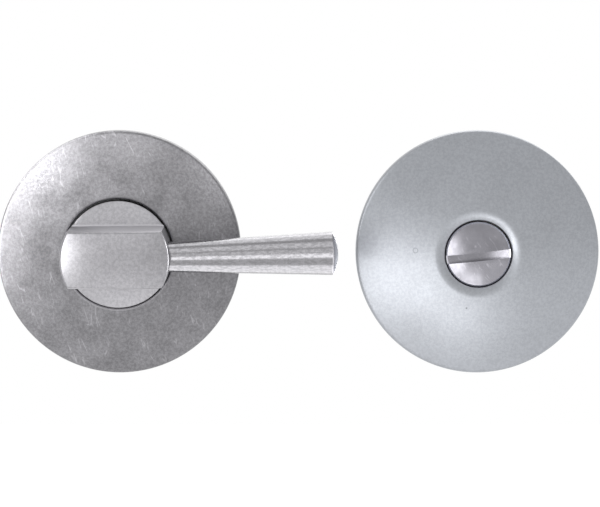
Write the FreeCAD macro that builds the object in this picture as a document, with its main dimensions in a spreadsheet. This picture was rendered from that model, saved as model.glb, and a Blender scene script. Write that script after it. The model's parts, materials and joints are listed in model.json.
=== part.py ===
import FreeCAD, Part
import math
import os

import Sketcher

# Bathroom thumb turn lock: the thumb turn for the room side and the coin release for the
# outside, side by side with their back plates in one door plane.
#
# World frame, millimetres: the door face is Y = 0, the front looks along -Y, up is +Z, and the
# origin is the turn's axis at the door face. Each half is drawn in a frame of its own, whose Z
# leaves the door and whose Y is up, and its placement stands it up.

SIZES = {
    # Where the halves stand
    "axis_spacing": 76.6,
    "turn_rest_angle": 0.4,
    "lever_tilt": 1.0,
    "slot_rest_angle": 6.0,
    # Clearances
    "running_clearance": 0.05,
    "seat_clearance": 0.03,
    "knob_gap": 0.5,
    "clip_gap": 0.1,
    # Roses: domed shells, part of a sphere about each half's axis
    "rose_radius": 26.0,
    "rose_wall": 1.5,
    "dome_radius": 64.0,
    "shoulder_round": 1.0,
    "lip_round": 0.4,
    "roll_bend_radius": 4.5,
    "roll_turn": 61.0,
    # Back plates with their bosses and snap nibs
    "plate_gap": 0.2,
    "plate_headroom": 0.3,
    "plate_thickness": 2.3,
    "plate_edge": 0.3,
    "boss_wall": 3.0,
    "nib_radius": 1.0,
    "nib_overlap_depth": 0.14,
    "nib_height": 1.2,
    "nib_count": 3,
    # Fixings, 38 mm apart
    "fixing_inset": 5.3,
    "fixing_head": 4.0,
    "thread_radius": 2.0,
    "neck_step": 0.1,
    "neck_clearance": 0.15,
    "bolt_length": 40.0,
    "bolt_point": 0.5,
    "cross_width": 0.9,
    "cross_length": 4.4,
    "cross_depth": 1.1,
    "sleeve_wall": 1.15,
    "sleeve_length": 30.0,
    "sleeve_floor": 2.0,
    # Bearings on the stems
    "stem_radius": 5.0,
    "stem_length": 12.0,
    "bush_wall": 1.95,
    "bush_flange_width": 2.0,
    "bush_flange_thickness": 0.8,
    "spring_gap": 0.6,
    "spring_thickness": 0.3,
    "turn_spring_inset": 0.6,
    "release_spring_inset": 0.4,
    "washer_inset": 0.3,
    "washer_thickness": 0.8,
    "clip_thickness": 0.9,
    "clip_groove_depth": 0.45,
    "clip_width": 1.1,
    "clip_mouth": 1.0,
    "lug_radius": 1.0,
    "lug_side": 1.5,
    "lug_rise": 1.05,
    "lug_hole": 0.5,
    # Spindle and its screw
    "spindle_side": 5.0,
    "spindle_depth": 1.5,
    "spindle_reach": 48.0,
    "spindle_point": 0.6,
    "socket_depth": 2.0,
    "grub_height": 7.0,
    "grub_hex": 2.0,
    "grub_hex_depth": 1.3,
    "grub_recess": 0.1,
    # Knob: a turned cylinder with two side cuts that leave a bar
    "knob_radius": 11.5,
    "knob_face_dome": 45.0,
    "knob_flange": 2.0,
    "land_proud_height": 0.43,
    "land_edge": 0.3,
    "bar_width": 12.0,
    "bar_height": 13.6,
    "bar_edge": 0.4,
    "bar_foot_round": 0.4,
    # Lever and the stud that joins it to the knob
    "lever_rise": 6.6,
    "lever_inset": 0.8,
    "lever_seat_rim": 0.2,
    "lever_root": 3.1,
    "lever_tip": 4.6,
    "lever_length": 36.0,
    "lever_dome": 0.9,
    "lever_edge": 0.25,
    "stud_depth": 6.5,
    "stud_end_gap": 0.5,
    "stud_point": 0.4,
    # Release head: a turned head with a coin slot
    "head_radius": 6.9,
    "head_gap": 0.5,
    "head_proud_height": 0.28,
    "head_thickness": 2.4,
    "head_dome": 0.8,
    "head_chamfer": 0.35,
    "slot_width": 1.8,
    "slot_depth": 1.5,
    "slot_disc": 26.0,
    "slot_drop": 0.5,
}

DOC = FreeCAD.newDocument("thumb_turn_lock")
SHEET = DOC.addObject("Spreadsheet::Sheet", "Sizes")
for row, (alias, number) in enumerate(SIZES.items(), start=1):
    SHEET.set(f"A{row}", alias)
    SHEET.set(f"B{row}", str(number))
    SHEET.setAlias(f"B{row}", alias)
WORKED_OUT = DOC.addObject("App::VarSet", "WorkedOut")
DOC.recompute()

PLANE_TOLERANCE = 1e-4
UPRIGHT = 90


class Term:
    """A length or an angle: the expression that gives it, and what it comes to."""

    def __init__(self, text, number):
        self.text = text
        self.number = number

    def __add__(self, other):
        other = as_term(other)
        return Term(f"({self.text} + {other.text})", self.number + other.number)

    def __sub__(self, other):
        other = as_term(other)
        return Term(f"({self.text} - {other.text})", self.number - other.number)

    def __mul__(self, other):
        other = as_term(other)
        return Term(f"({self.text} * {other.text})", self.number * other.number)

    def __truediv__(self, other):
        other = as_term(other)
        return Term(f"({self.text} / {other.text})", self.number / other.number)

    def __neg__(self):
        return Term(f"(0 - {self.text})", -self.number)


def as_term(amount):
    return amount if isinstance(amount, Term) else Term(repr(float(amount)), float(amount))


def size(alias):
    return Term(f"Sizes.{alias}", float(getattr(SHEET, alias)))


def square_root(amount):
    return Term(f"sqrt({amount.text})", math.sqrt(amount.number))


def sine(angle):
    return Term(f"sin({angle.text})", math.sin(math.radians(angle.number)))


def cosine(angle):
    return Term(f"cos({angle.text})", math.cos(math.radians(angle.number)))


def kept(name, amount):
    """Keeps a worked-out length in the document under a name."""
    WORKED_OUT.addProperty("App::PropertyFloat", name, "Lengths", "")
    WORKED_OUT.setExpression(name, amount.text)
    return Term(f"WorkedOut.{name}", amount.number)


# Sketches and features

def origin_plane(body, role):
    return next(f for f in body.Origin.OriginFeatures if f.Role == role)


def new_body(name, across=0, along=0, pitch=None):
    """A body in its half's frame: across and along are world X and Z, and pitch turns it."""
    body = DOC.addObject("PartDesign::Body", name)
    body.Label = name
    turned = -pitch if pitch else 0
    place(body, (across, 0, along), (0, turned, UPRIGHT))
    return body


def place(item, position, angles, rule="Placement"):
    where = "; ".join(as_term(amount).text for amount in position)
    turn = "; ".join(as_term(amount).text for amount in angles)
    item.setExpression(
        rule, f"create(<<placement>>; create(<<vector>>; {where}); create(<<rotation>>; {turn}))"
    )


def new_sketch(body, name, role, offset=0, tilt=0):
    """A sketch beside one of the body's planes, tilted about its own vertical."""
    sketch = body.newObject("Sketcher::SketchObject", name)
    sketch.AttachmentSupport = [(origin_plane(body, role), "")]
    sketch.MapMode = "FlatFace"
    place(sketch, (0, 0, offset), (0, tilt, 0), "AttachmentOffset")
    return sketch


def bind(sketch, label, constraint, amount):
    index = sketch.addConstraint(constraint)
    sketch.renameConstraint(index, label)
    sketch.setExpression(f"Constraints.{label}", amount.text)


def pin_point(sketch, label, edge, end, x, y):
    """Holds one point of a sketch at x, y, on an axis where the value is a plain zero."""
    for axis, line, amount in (("X", -2, x), ("Y", -1, y)):
        if amount.text == "0.0":
            sketch.addConstraint(Sketcher.Constraint("PointOnObject", edge, end, line))
        else:
            rule = Sketcher.Constraint(f"Distance{axis}", edge, end, amount.number)
            bind(sketch, f"{label}_{axis.lower()}", rule, amount)


def round_edge(start, end, radius, turn):
    """The arc from start to end that bends left or right, always stored anticlockwise."""
    chord = end - start
    sideways = FreeCAD.Vector(-chord.y, chord.x, 0).normalize()
    away = math.sqrt(radius**2 - (chord.Length / 2) ** 2)
    centre = (start + end) / 2 + sideways * (away if turn == "left" else -away)
    first, last = (start, end) if turn == "left" else (end, start)
    angles = [math.atan2(p.y - centre.y, p.x - centre.x) for p in (first, last)]
    if angles[1] < angles[0]:
        angles[1] += 2 * math.pi
    circle = Part.Circle(centre, FreeCAD.Vector(0, 0, 1), radius)
    return Part.ArcOfCircle(circle, *angles)


def closed_path(sketch, corners, label="corner"):
    """Draws a closed path. A corner is (x, y), or (x, y, radius, turn) where an arc leaves it."""
    corners = [tuple(as_term(a) for a in c[:2]) + tuple(c[2:]) for c in corners]
    spots = [FreeCAD.Vector(c[0].number, c[1].number, 0) for c in corners]
    ends = []
    for i, corner in enumerate(corners):
        start, end = spots[i], spots[(i + 1) % len(spots)]
        if len(corner) == 2:
            edge = sketch.addGeometry(Part.LineSegment(start, end))
            ends.append((edge, 1, 2))
            continue
        radius, turn = corner[2:]
        edge = sketch.addGeometry(round_edge(start, end, radius.number, turn))
        ends.append((edge, 1, 2) if turn == "left" else (edge, 2, 1))
    for i, (edge, first, last) in enumerate(ends):
        following, its_first, _ = ends[(i + 1) % len(ends)]
        sketch.addConstraint(Sketcher.Constraint("Coincident", edge, last, following, its_first))
    for i, corner in enumerate(corners):
        edge, first, _ = ends[i]
        pin_point(sketch, f"{label}_{i}", edge, first, corner[0], corner[1])
        if len(corner) == 4:
            rule = Sketcher.Constraint("Radius", edge, corner[2].number)
            bind(sketch, f"{label}_{i}_radius", rule, corner[2])


def circles(sketch, rounds):
    """Draws circles given as (x, y, radius)."""
    for i, (x, y, radius) in enumerate(rounds):
        x, y = as_term(x), as_term(y)
        middle = FreeCAD.Vector(x.number, y.number, 0)
        edge = sketch.addGeometry(Part.Circle(middle, FreeCAD.Vector(0, 0, 1), radius.number))
        pin_point(sketch, f"centre_{i}", edge, 3, x, y)
        bind(sketch, f"radius_{i}", Sketcher.Constraint("Radius", edge, radius.number), radius)


def rectangle(sketch, low_x, low_y, high_x, high_y, label="corner"):
    path = [(low_x, low_y), (high_x, low_y), (high_x, high_y), (low_x, high_y)]
    closed_path(sketch, path, label)


def revolve(body, name, corners):
    """Turns an outline of (radius, height) corners round the body's Z axis."""
    sketch = new_sketch(body, f"{name}_outline", "XZ_Plane")
    closed_path(sketch, corners)
    feature = body.newObject("PartDesign::Revolution", name)
    feature.Profile = sketch
    feature.ReferenceAxis = (sketch, ["V_Axis"])
    feature.Angle = 360
    DOC.recompute()
    return feature


def pad(body, name, sketch, length, backwards=False):
    feature = body.newObject("PartDesign::Pad", name)
    feature.Profile = sketch
    feature.setExpression("Length", length.text)
    feature.Reversed = backwards
    DOC.recompute()
    return feature


def cut(body, name, sketch, depth=None, along_normal=False):
    """Cuts a sketch out of the body, against its normal unless told otherwise."""
    before = body.Shape.Volume
    feature = body.newObject("PartDesign::Pocket", name)
    feature.Profile = sketch
    feature.Reversed = along_normal
    if depth is None:
        feature.Type = "ThroughAll"
    else:
        feature.setExpression("Length", depth.text)
    DOC.recompute()
    if body.Shape.Volume >= before:
        raise RuntimeError(f"{name} removed nothing")
    return feature


def dress(body, name, kind, edges, amount):
    """Rounds (Fillet) or bevels (Chamfer) the named edges of the body's last feature."""
    if not edges:
        raise RuntimeError(f"{name} found no edge")
    base = body.Tip
    feature = body.newObject(f"PartDesign::{kind}", name)
    feature.Base = (base, edges)
    feature.setExpression("Radius" if kind == "Fillet" else "Size", amount.text)
    DOC.recompute()
    return feature


def edges_where(body, test):
    return [f"Edge{i}" for i, edge in enumerate(body.Shape.Edges, start=1) if test(edge)]


def ring_edges(body, radius, height):
    """The circular edges about the axis, or about a fixing hole, at a radius and a height."""

    def fits(edge):
        local = edge.copy()
        local.transformShape(body.Placement.inverse().toMatrix())
        if local.Degenerated or not isinstance(local.Curve, Part.Circle):
            return False
        level = abs(local.Curve.Center.z - height.number) < PLANE_TOLERANCE
        return level and abs(local.Curve.Radius - radius.number) < PLANE_TOLERANCE

    return edges_where(body, fits)


def local_box(body, edge):
    local = edge.copy()
    local.transformShape(body.Placement.inverse().toMatrix())
    return local.BoundBox


# Roses: the dome, and the rounds that its arcs run into

ROSE_INNER = kept("rose_inner", size("rose_radius") - size("rose_wall"))
TURN_HOLE = kept("turn_hole", size("knob_radius") + size("knob_gap"))
RELEASE_HOLE = kept("release_hole", size("head_radius") + size("head_gap"))


def dome_centre():
    """The height of the dome's centre, which leaves the plate's rim its headroom."""
    inside = size("dome_radius") - size("rose_wall")
    fall = square_root(inside * inside - ROSE_INNER * ROSE_INNER)
    return size("plate_thickness") + size("plate_headroom") - fall


DOME_CENTRE = kept("dome_centre", dome_centre())


def round_inside(name, small, across, big, centre):
    """A small round that touches a big arc from within, with its centre at a radius across.

    Gives the height of the round's centre, and the point where the round meets the arc.
    """
    reach = big - small
    aside = across - centre[0]
    rise = kept(f"{name}_rise", square_root(reach * reach - aside * aside))
    meets = (
        kept(f"{name}_meets_across", centre[0] + aside * big / reach),
        kept(f"{name}_meets_height", centre[1] + rise * big / reach),
    )
    return kept(f"{name}_height", centre[1] + rise), meets


def dome_underside(name, radius):
    """The height of the inside of a rose's wall at a radius."""
    inside = size("dome_radius") - size("rose_wall")
    return kept(name, DOME_CENTRE + square_root(inside * inside - radius * radius))


def rose_rim(shoulder, meets):
    """Corners of a rose from the end of its dome, round the shoulder and back under the dome."""
    inside = size("dome_radius") - size("rose_wall")
    return [
        (*meets, size("shoulder_round"), "right"),
        (size("rose_radius"), shoulder),
        (size("rose_radius"), 0),
        (ROSE_INNER, 0),
        (ROSE_INNER, size("plate_thickness") + size("plate_headroom"), inside, "left"),
    ]


DOME = (as_term(0), DOME_CENTRE)
SHOULDER, SHOULDER_MEETS = round_inside(
    "shoulder",
    size("shoulder_round"),
    size("rose_radius") - size("shoulder_round"),
    size("dome_radius"),
    DOME,
)
TURN_LIP, TURN_LIP_MEETS = round_inside(
    "turn_lip", size("lip_round"), TURN_HOLE + size("lip_round"), size("dome_radius"), DOME
)
ROLL_RADIUS = kept("roll_radius", size("roll_bend_radius") + size("rose_wall"))
ROLL_SPAN = kept("roll_span", size("roll_bend_radius") * sine(size("roll_turn")))
ROLL_ACROSS = kept("roll_across", RELEASE_HOLE + ROLL_SPAN)
ROLL_HEIGHT, ROLL_MEETS = round_inside("roll", ROLL_RADIUS, ROLL_ACROSS, size("dome_radius"), DOME)
RELEASE_LIP, RELEASE_LIP_MEETS = round_inside(
    "release_lip",
    size("lip_round"),
    RELEASE_HOLE + size("lip_round"),
    ROLL_RADIUS,
    (ROLL_ACROSS, ROLL_HEIGHT),
)


def turn_rose():
    """A pressed dome with a plain hole that the knob turns in."""
    body = new_body("turn_rose")
    revolve(body, "turn_rose_shell", [
        (TURN_HOLE, dome_underside("turn_lip_under", TURN_HOLE)),
        (TURN_HOLE, TURN_LIP, size("lip_round"), "right"),
        (*TURN_LIP_MEETS, size("dome_radius"), "right"),
        *rose_rim(SHOULDER, SHOULDER_MEETS),
    ])
    return body


def release_rose():
    """The same dome, whose middle rolls down into the hole round the coin head."""
    body = new_body("release_rose", across=size("axis_spacing"))
    bend, inside = size("roll_bend_radius"), size("dome_radius") - size("rose_wall")
    sag = square_root(bend * bend - ROLL_SPAN * ROLL_SPAN)
    towards = inside / (size("dome_radius") - ROLL_RADIUS)
    revolve(body, "release_rose_shell", [
        (RELEASE_HOLE, kept("release_lip_under", ROLL_HEIGHT + sag)),
        (RELEASE_HOLE, RELEASE_LIP, size("lip_round"), "right"),
        (*RELEASE_LIP_MEETS, ROLL_RADIUS, "right"),
        (*ROLL_MEETS, size("dome_radius"), "right"),
        *rose_rim(SHOULDER, SHOULDER_MEETS),
        (
            kept("roll_under_across", ROLL_ACROSS * towards),
            kept("roll_under_height", DOME_CENTRE + (ROLL_HEIGHT - DOME_CENTRE) * towards),
            bend,
            "left",
        ),
    ])
    return body


# Lengths that the pieces under the roses share

PLATE_RADIUS = kept("plate_radius", ROSE_INNER - size("plate_gap"))
FIXING_OFFSET = kept("fixing_offset", PLATE_RADIUS - size("fixing_inset"))
NECK_RADIUS = kept("neck_radius", size("thread_radius") + size("neck_step"))
FIXING_HOLE = kept("fixing_hole", NECK_RADIUS + size("neck_clearance"))
SINK_RADIUS = kept("sink_radius", size("fixing_head") + size("running_clearance") * 2)
THREAD_BORE = kept("thread_bore", size("thread_radius") + size("running_clearance"))

BEARING_BORE = kept("bearing_bore", size("stem_radius") + size("running_clearance"))
BUSH_RADIUS = kept("bush_radius", BEARING_BORE + size("bush_wall"))
BUSH_FLANGE = kept("bush_flange", BUSH_RADIUS + size("bush_flange_width"))
BOSS_RADIUS = kept("boss_radius", BUSH_RADIUS + size("boss_wall"))
TURN_SPRING_RADIUS = kept("turn_spring_radius", BUSH_FLANGE - size("turn_spring_inset"))
RELEASE_SPRING_RADIUS = kept(
    "release_spring_radius", size("head_radius") - size("release_spring_inset")
)

KNOB_LAND = kept("knob_land", TURN_LIP_MEETS[1] + size("land_proud_height"))
KNOB_UNDERSIDE = kept("knob_underside", KNOB_LAND - size("knob_flange"))
TURN_BUSH_TOP = kept("turn_bush_top", KNOB_UNDERSIDE - size("spring_gap"))
TURN_BOSS = kept("turn_boss", TURN_BUSH_TOP - size("bush_flange_thickness"))
LEVER_HEIGHT = kept("lever_height", KNOB_LAND + size("lever_rise"))
LEVER_SEAT = kept("lever_seat", size("knob_radius") - size("lever_inset"))

HEAD_EDGE = kept("head_edge", RELEASE_LIP_MEETS[1] + size("head_proud_height"))
HEAD_UNDERSIDE = kept("head_underside", HEAD_EDGE - size("head_thickness"))
RELEASE_BUSH_TOP = kept("release_bush_top", HEAD_UNDERSIDE - size("spring_gap"))
RELEASE_BOSS = kept("release_boss", RELEASE_BUSH_TOP - size("bush_flange_thickness"))

WASHER_FRONT = kept("washer_front", -size("clip_gap"))
WASHER_BACK = kept("washer_back", WASHER_FRONT - size("washer_thickness"))
CLIP_FRONT = kept("clip_front", WASHER_BACK - size("clip_gap"))
CLIP_BACK = kept("clip_back", CLIP_FRONT - size("clip_thickness"))
GROOVE_RADIUS = kept("groove_radius", size("stem_radius") - size("clip_groove_depth"))
SOCKET_HALF = kept("socket_half", size("spindle_side") / 2 + size("running_clearance"))


# Back plates, bushes and fixings

def back_plate(name, boss_height, across=0):
    """A disc with a bored boss, countersunk fixing holes and nibs that the rose snaps over."""
    body = new_body(name, across=across)
    thickness, edge = size("plate_thickness"), size("plate_edge")
    revolve(body, f"{name}_disc", [
        (BUSH_RADIUS, 0),
        (BUSH_RADIUS, boss_height),
        (BOSS_RADIUS, boss_height),
        (BOSS_RADIUS, thickness),
        (PLATE_RADIUS - edge, thickness),
        (PLATE_RADIUS, thickness - edge),
        (PLATE_RADIUS, 0),
    ])
    nib = new_sketch(body, f"{name}_nib_outline", "XY_Plane")
    nib_radius = size("nib_radius")
    circles(nib, [(PLATE_RADIUS + size("nib_overlap_depth") - nib_radius, 0, nib_radius)])
    first_nib = pad(body, f"{name}_nib", nib, size("nib_height"))
    pattern = body.newObject("PartDesign::PolarPattern", f"{name}_nibs")
    pattern.Originals = [first_nib]
    pattern.Axis = (nib, ["N_Axis"])
    pattern.Angle = 360
    pattern.setExpression("Occurrences", size("nib_count").text)
    body.Tip = pattern
    DOC.recompute()
    holes = new_sketch(body, f"{name}_hole_outline", "XY_Plane")
    circles(holes, [(0, FIXING_OFFSET, FIXING_HOLE), (0, -FIXING_OFFSET, FIXING_HOLE)])
    cut(body, f"{name}_holes", holes, along_normal=True)
    sinks = ring_edges(body, FIXING_HOLE, thickness)
    dress(body, f"{name}_countersinks", "Chamfer", sinks, SINK_RADIUS - FIXING_HOLE)
    return body


def bush(name, boss_height, top, across=0):
    """A flanged bush that lines the boss and carries the stem."""
    body = new_body(name, across=across)
    outside = BUSH_RADIUS - size("seat_clearance")
    revolve(body, f"{name}_turned", [
        (BEARING_BORE, 0),
        (BEARING_BORE, top),
        (BUSH_FLANGE, top),
        (BUSH_FLANGE, boss_height),
        (outside, boss_height),
        (outside, 0),
    ])
    return body


def fixing_bolt(name, height):
    """A countersunk machine bolt with a cross recess."""
    body = new_body(name, along=height)
    radius, point = size("thread_radius"), size("bolt_point")
    top, head = size("plate_thickness"), size("fixing_head")
    revolve(body, f"{name}_turned", [
        (0, -size("bolt_length")),
        (radius - point, -size("bolt_length")),
        (radius, point - size("bolt_length")),
        (radius, 0),
        (NECK_RADIUS, 0),
        (NECK_RADIUS, top - head + NECK_RADIUS),
        (head, top),
        (0, top),
    ])
    recess = new_sketch(body, f"{name}_cross", "XY_Plane", top)
    half, end = size("cross_width") / 2, size("cross_length") / 2
    closed_path(recess, [
        (-half, -end), (half, -end), (half, -half), (end, -half), (end, half), (half, half),
        (half, end), (-half, end), (-half, half), (-end, half), (-end, -half), (-half, -half),
    ])
    cut(body, f"{name}_recess", recess, size("cross_depth"))
    return body


def fixing_sleeve(name, height):
    """A threaded post riveted into the release's back plate, which a bolt screws into."""
    body = new_body(name, across=size("axis_spacing"), along=height)
    spigot = FIXING_HOLE - size("seat_clearance")
    outside = THREAD_BORE + size("sleeve_wall")
    top, head = size("plate_thickness"), size("fixing_head")
    revolve(body, f"{name}_turned", [
        (0, -size("sleeve_floor")),
        (THREAD_BORE, -size("sleeve_floor")),
        (THREAD_BORE, -size("sleeve_length")),
        (outside, -size("sleeve_length")),
        (outside, 0),
        (spigot, 0),
        (spigot, top - head + spigot),
        (head, top),
        (0, top),
    ])
    return body


# Washers and clips on the stems

def spring_washer(name, radius, rest, across=0, pitch=None):
    """A bowed washer that takes up the play between a bush and what turns on it."""
    body = new_body(name, across=across, pitch=pitch)
    thick = size("spring_thickness")
    sag = kept(f"{name}_sag", size("spring_gap") - thick - size("seat_clearance") * 2)
    half = radius + thick
    bow = kept(f"{name}_bow", (half * half + sag * sag) / (sag * 2))
    low = rest + size("seat_clearance")
    strip = new_sketch(body, f"{name}_strip", "XZ_Plane", -half)
    closed_path(strip, [
        (-half, low, bow, "right"),
        (half, low),
        (half, low + thick, bow, "left"),
        (-half, low + thick),
    ])
    pad(body, f"{name}_bent", strip, half * 2)
    stamp = new_sketch(body, f"{name}_stamp", "XY_Plane")
    inner = BEARING_BORE + size("running_clearance") * 3
    circles(stamp, [(0, 0, half * 2), (0, 0, radius), (0, 0, inner)])
    cut(body, f"{name}_ring", stamp, along_normal=True)
    return body


def thrust_washer(name, across=0):
    """A plain washer behind the bush."""
    body = new_body(name, across=across)
    inner, outer = BEARING_BORE + size("running_clearance"), BUSH_RADIUS - size("washer_inset")
    revolve(body, f"{name}_ring", [
        (inner, WASHER_BACK),
        (outer, WASHER_BACK),
        (outer, WASHER_FRONT),
        (inner, WASHER_FRONT),
    ])
    return body


def circlip(name, across=0, pitch=None):
    """An open ring in the stem's groove, with two eyed lugs at its mouth."""
    body = new_body(name, across=across, pitch=pitch)
    inner = GROOVE_RADIUS + size("seat_clearance")
    thick, lugs_up = size("clip_thickness"), GROOVE_RADIUS + size("lug_rise")
    ring = new_sketch(body, f"{name}_ring_outline", "XY_Plane", CLIP_BACK)
    circles(ring, [(0, 0, inner + size("clip_width")), (0, 0, inner)])
    pad(body, f"{name}_ring", ring, thick)
    for side, offset in (("left", -size("lug_side")), ("right", size("lug_side"))):
        lug = new_sketch(body, f"{name}_{side}_lug_outline", "XY_Plane", CLIP_BACK)
        circles(lug, [(offset, lugs_up, size("lug_radius"))])
        pad(body, f"{name}_{side}_lug", lug, thick)
    eyes = new_sketch(body, f"{name}_eye_outline", "XY_Plane", CLIP_BACK)
    circles(eyes, [
        (-size("lug_side"), lugs_up, size("lug_hole")),
        (size("lug_side"), lugs_up, size("lug_hole")),
    ])
    cut(body, f"{name}_eyes", eyes, along_normal=True)
    mouth = new_sketch(body, f"{name}_mouth_outline", "XY_Plane", CLIP_BACK)
    half = size("clip_mouth") / 2
    rectangle(mouth, -half, inner / 2, half, lugs_up + size("lug_radius"))
    cut(body, f"{name}_mouth", mouth, along_normal=True)
    return body


# Turn: knob, lever, stud, spindle and grub screw

def stem_outline():
    """Corners of a stem from its end up to its bearing, with the groove for the circlip."""
    play = size("seat_clearance")
    radius = size("stem_radius")
    return [
        (0, -size("stem_length")),
        (radius, -size("stem_length")),
        (radius, CLIP_BACK - play),
        (GROOVE_RADIUS, CLIP_BACK - play),
        (GROOVE_RADIUS, CLIP_FRONT + play),
        (radius, CLIP_FRONT + play),
    ]


def square_socket(body, name):
    """The square hole up the stem that the spindle slides into."""
    outline = new_sketch(body, f"{name}_outline", "XY_Plane", -size("stem_length"))
    rectangle(outline, -SOCKET_HALF, -SOCKET_HALF, SOCKET_HALF, SOCKET_HALF)
    cut(body, name, outline, size("stem_length") + size("socket_depth"), along_normal=True)


def thumb_turn(pitch):
    """The knob, turned in one with its stem, then milled to a bar and drilled for the lever."""
    body = new_body("thumb_turn", pitch=pitch)
    radius, dome = size("knob_radius"), size("knob_face_dome")
    front = kept("knob_front", KNOB_LAND + size("bar_height"))
    drop = dome - square_root(dome * dome - radius * radius)
    face_edge = kept("knob_face_edge", front - drop)
    revolve(body, "knob_turned", stem_outline() + [
        (size("stem_radius"), KNOB_UNDERSIDE),
        (radius, KNOB_UNDERSIDE),
        (radius, face_edge, dome, "left"),
        (0, front),
    ])
    square_socket(body, "knob_socket")
    cheeks = new_sketch(body, "knob_cheek_outline", "XY_Plane", KNOB_LAND)
    half, beyond = size("bar_width") / 2, radius + size("knob_gap")
    rectangle(cheeks, -beyond, half, beyond, beyond, "upper")
    rectangle(cheeks, -beyond, -beyond, beyond, -half, "lower")
    cut(body, "knob_cheeks", cheeks, along_normal=True)
    dress(body, "land_bevel", "Chamfer", ring_edges(body, radius, KNOB_LAND), size("land_edge"))
    feet = edges_where(body, lambda edge: is_bar_foot(local_box(body, edge), half))
    dress(body, "knob_feet", "Fillet", feet, size("bar_foot_round"))
    brow = face_edge.number - PLANE_TOLERANCE
    face = edges_where(body, lambda edge: local_box(body, edge).ZMin > brow)
    dress(body, "knob_face_bevel", "Chamfer", face, size("bar_edge"))
    seat = new_sketch(body, "lever_seat_outline", "YZ_Plane", LEVER_SEAT, size("lever_tilt"))
    circles(seat, [(0, LEVER_HEIGHT, size("lever_root") + size("lever_seat_rim"))])
    cut(body, "lever_seat", seat, along_normal=True)
    drilled = new_sketch(body, "stud_hole_outline", "YZ_Plane", LEVER_SEAT, size("lever_tilt"))
    circles(drilled, [(0, LEVER_HEIGHT, THREAD_BORE)])
    cut(body, "stud_hole", drilled, size("stud_depth") + size("stud_end_gap"))
    tapped = new_sketch(body, "grub_hole_outline", "YZ_Plane")
    circles(tapped, [(0, -size("grub_height"), THREAD_BORE)])
    cut(body, "grub_hole", tapped, size("stem_radius") + size("knob_gap"), along_normal=True)
    return body


def is_bar_foot(box, half):
    """Whether an edge runs along the foot of the bar, where a side cut meets the land."""
    level = abs(box.ZMin - KNOB_LAND.number) < PLANE_TOLERANCE and box.ZLength < PLANE_TOLERANCE
    beside = abs(abs(box.YMin) - half.number) < PLANE_TOLERANCE and box.YLength < PLANE_TOLERANCE
    return level and beside


def along_lever(body, pitch):
    """Lays a body along the lever, its Z outwards, tilted a little about its seat on the knob."""
    tilted = pitch + size("lever_tilt")
    across = LEVER_SEAT * (cosine(pitch) - cosine(tilted))
    up = LEVER_SEAT * (sine(pitch) - sine(tilted))
    place(body, (across, -LEVER_HEIGHT, up), (0, as_term(UPRIGHT) - tilted, 0))


def turn_lever(pitch):
    """A slim cone that thickens to a domed end, drilled at its root for the stud."""
    body = new_body("turn_lever")
    along_lever(body, pitch)
    root_end, reach = LEVER_SEAT + size("seat_clearance"), LEVER_SEAT + size("lever_length")
    edge, tip = size("lever_edge"), size("lever_tip")
    shoulder = reach - size("lever_dome")
    dome = size("lever_dome")
    inner_tip = tip - edge
    end_radius = kept("lever_end_radius", (inner_tip * inner_tip + dome * dome) / (dome * 2))
    hole_end = LEVER_SEAT + size("stud_depth") + size("stud_end_gap")
    revolve(body, "lever_turned", [
        (THREAD_BORE, root_end),
        (size("lever_root"), root_end),
        (tip, shoulder - edge),
        (inner_tip, shoulder, end_radius, "left"),
        (0, reach),
        (0, hole_end),
        (THREAD_BORE, hole_end),
    ])
    return body


def lever_stud(pitch):
    """A length of threaded rod, half in the knob and half in the lever."""
    body = new_body("lever_stud")
    along_lever(body, pitch)
    low, high = LEVER_SEAT - size("stud_depth"), LEVER_SEAT + size("stud_depth")
    radius, point = size("thread_radius"), size("stud_point")
    revolve(body, "stud_rod", [
        (0, low),
        (radius - point, low),
        (radius, low + point),
        (radius, high - point),
        (radius - point, high),
        (0, high),
    ])
    return body


def spindle(pitch):
    """The square bar that crosses the door, bevelled at both ends."""
    body = new_body("spindle", pitch=pitch)
    half, back = size("spindle_side") / 2, -size("spindle_reach")
    outline = new_sketch(body, "spindle_outline", "XY_Plane", back)
    rectangle(outline, -half, -half, half, half)
    pad(body, "spindle_bar", outline, size("spindle_reach") + size("spindle_depth"))
    ends = edges_where(body, lambda edge: local_box(body, edge).ZLength < PLANE_TOLERANCE)
    dress(body, "spindle_ends", "Chamfer", ends, size("spindle_point"))
    return body


def spindle_grub_screw(pitch):
    """A short screw through the stem's wall that grips the spindle, with a hexagon socket."""
    body = new_body("spindle_grub_screw", pitch=pitch)
    inner = size("spindle_side") / 2 + size("seat_clearance")
    outer = size("stem_radius") - size("grub_recess")
    height = -size("grub_height")
    outline = new_sketch(body, "grub_outline", "YZ_Plane", inner)
    circles(outline, [(0, height, size("thread_radius"))])
    pad(body, "grub_rod", outline, outer - inner)
    socket = new_sketch(body, "grub_socket_outline", "YZ_Plane", outer)
    half = size("grub_hex") / 2
    corner, side = half * (2 / math.sqrt(3)), half / math.sqrt(3)
    closed_path(socket, [
        (corner, height), (side, height + half), (-side, height + half),
        (-corner, height), (-side, height - half), (side, height - half),
    ])
    cut(body, "grub_socket", socket, size("grub_hex_depth"))
    return body


# Release head

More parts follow.
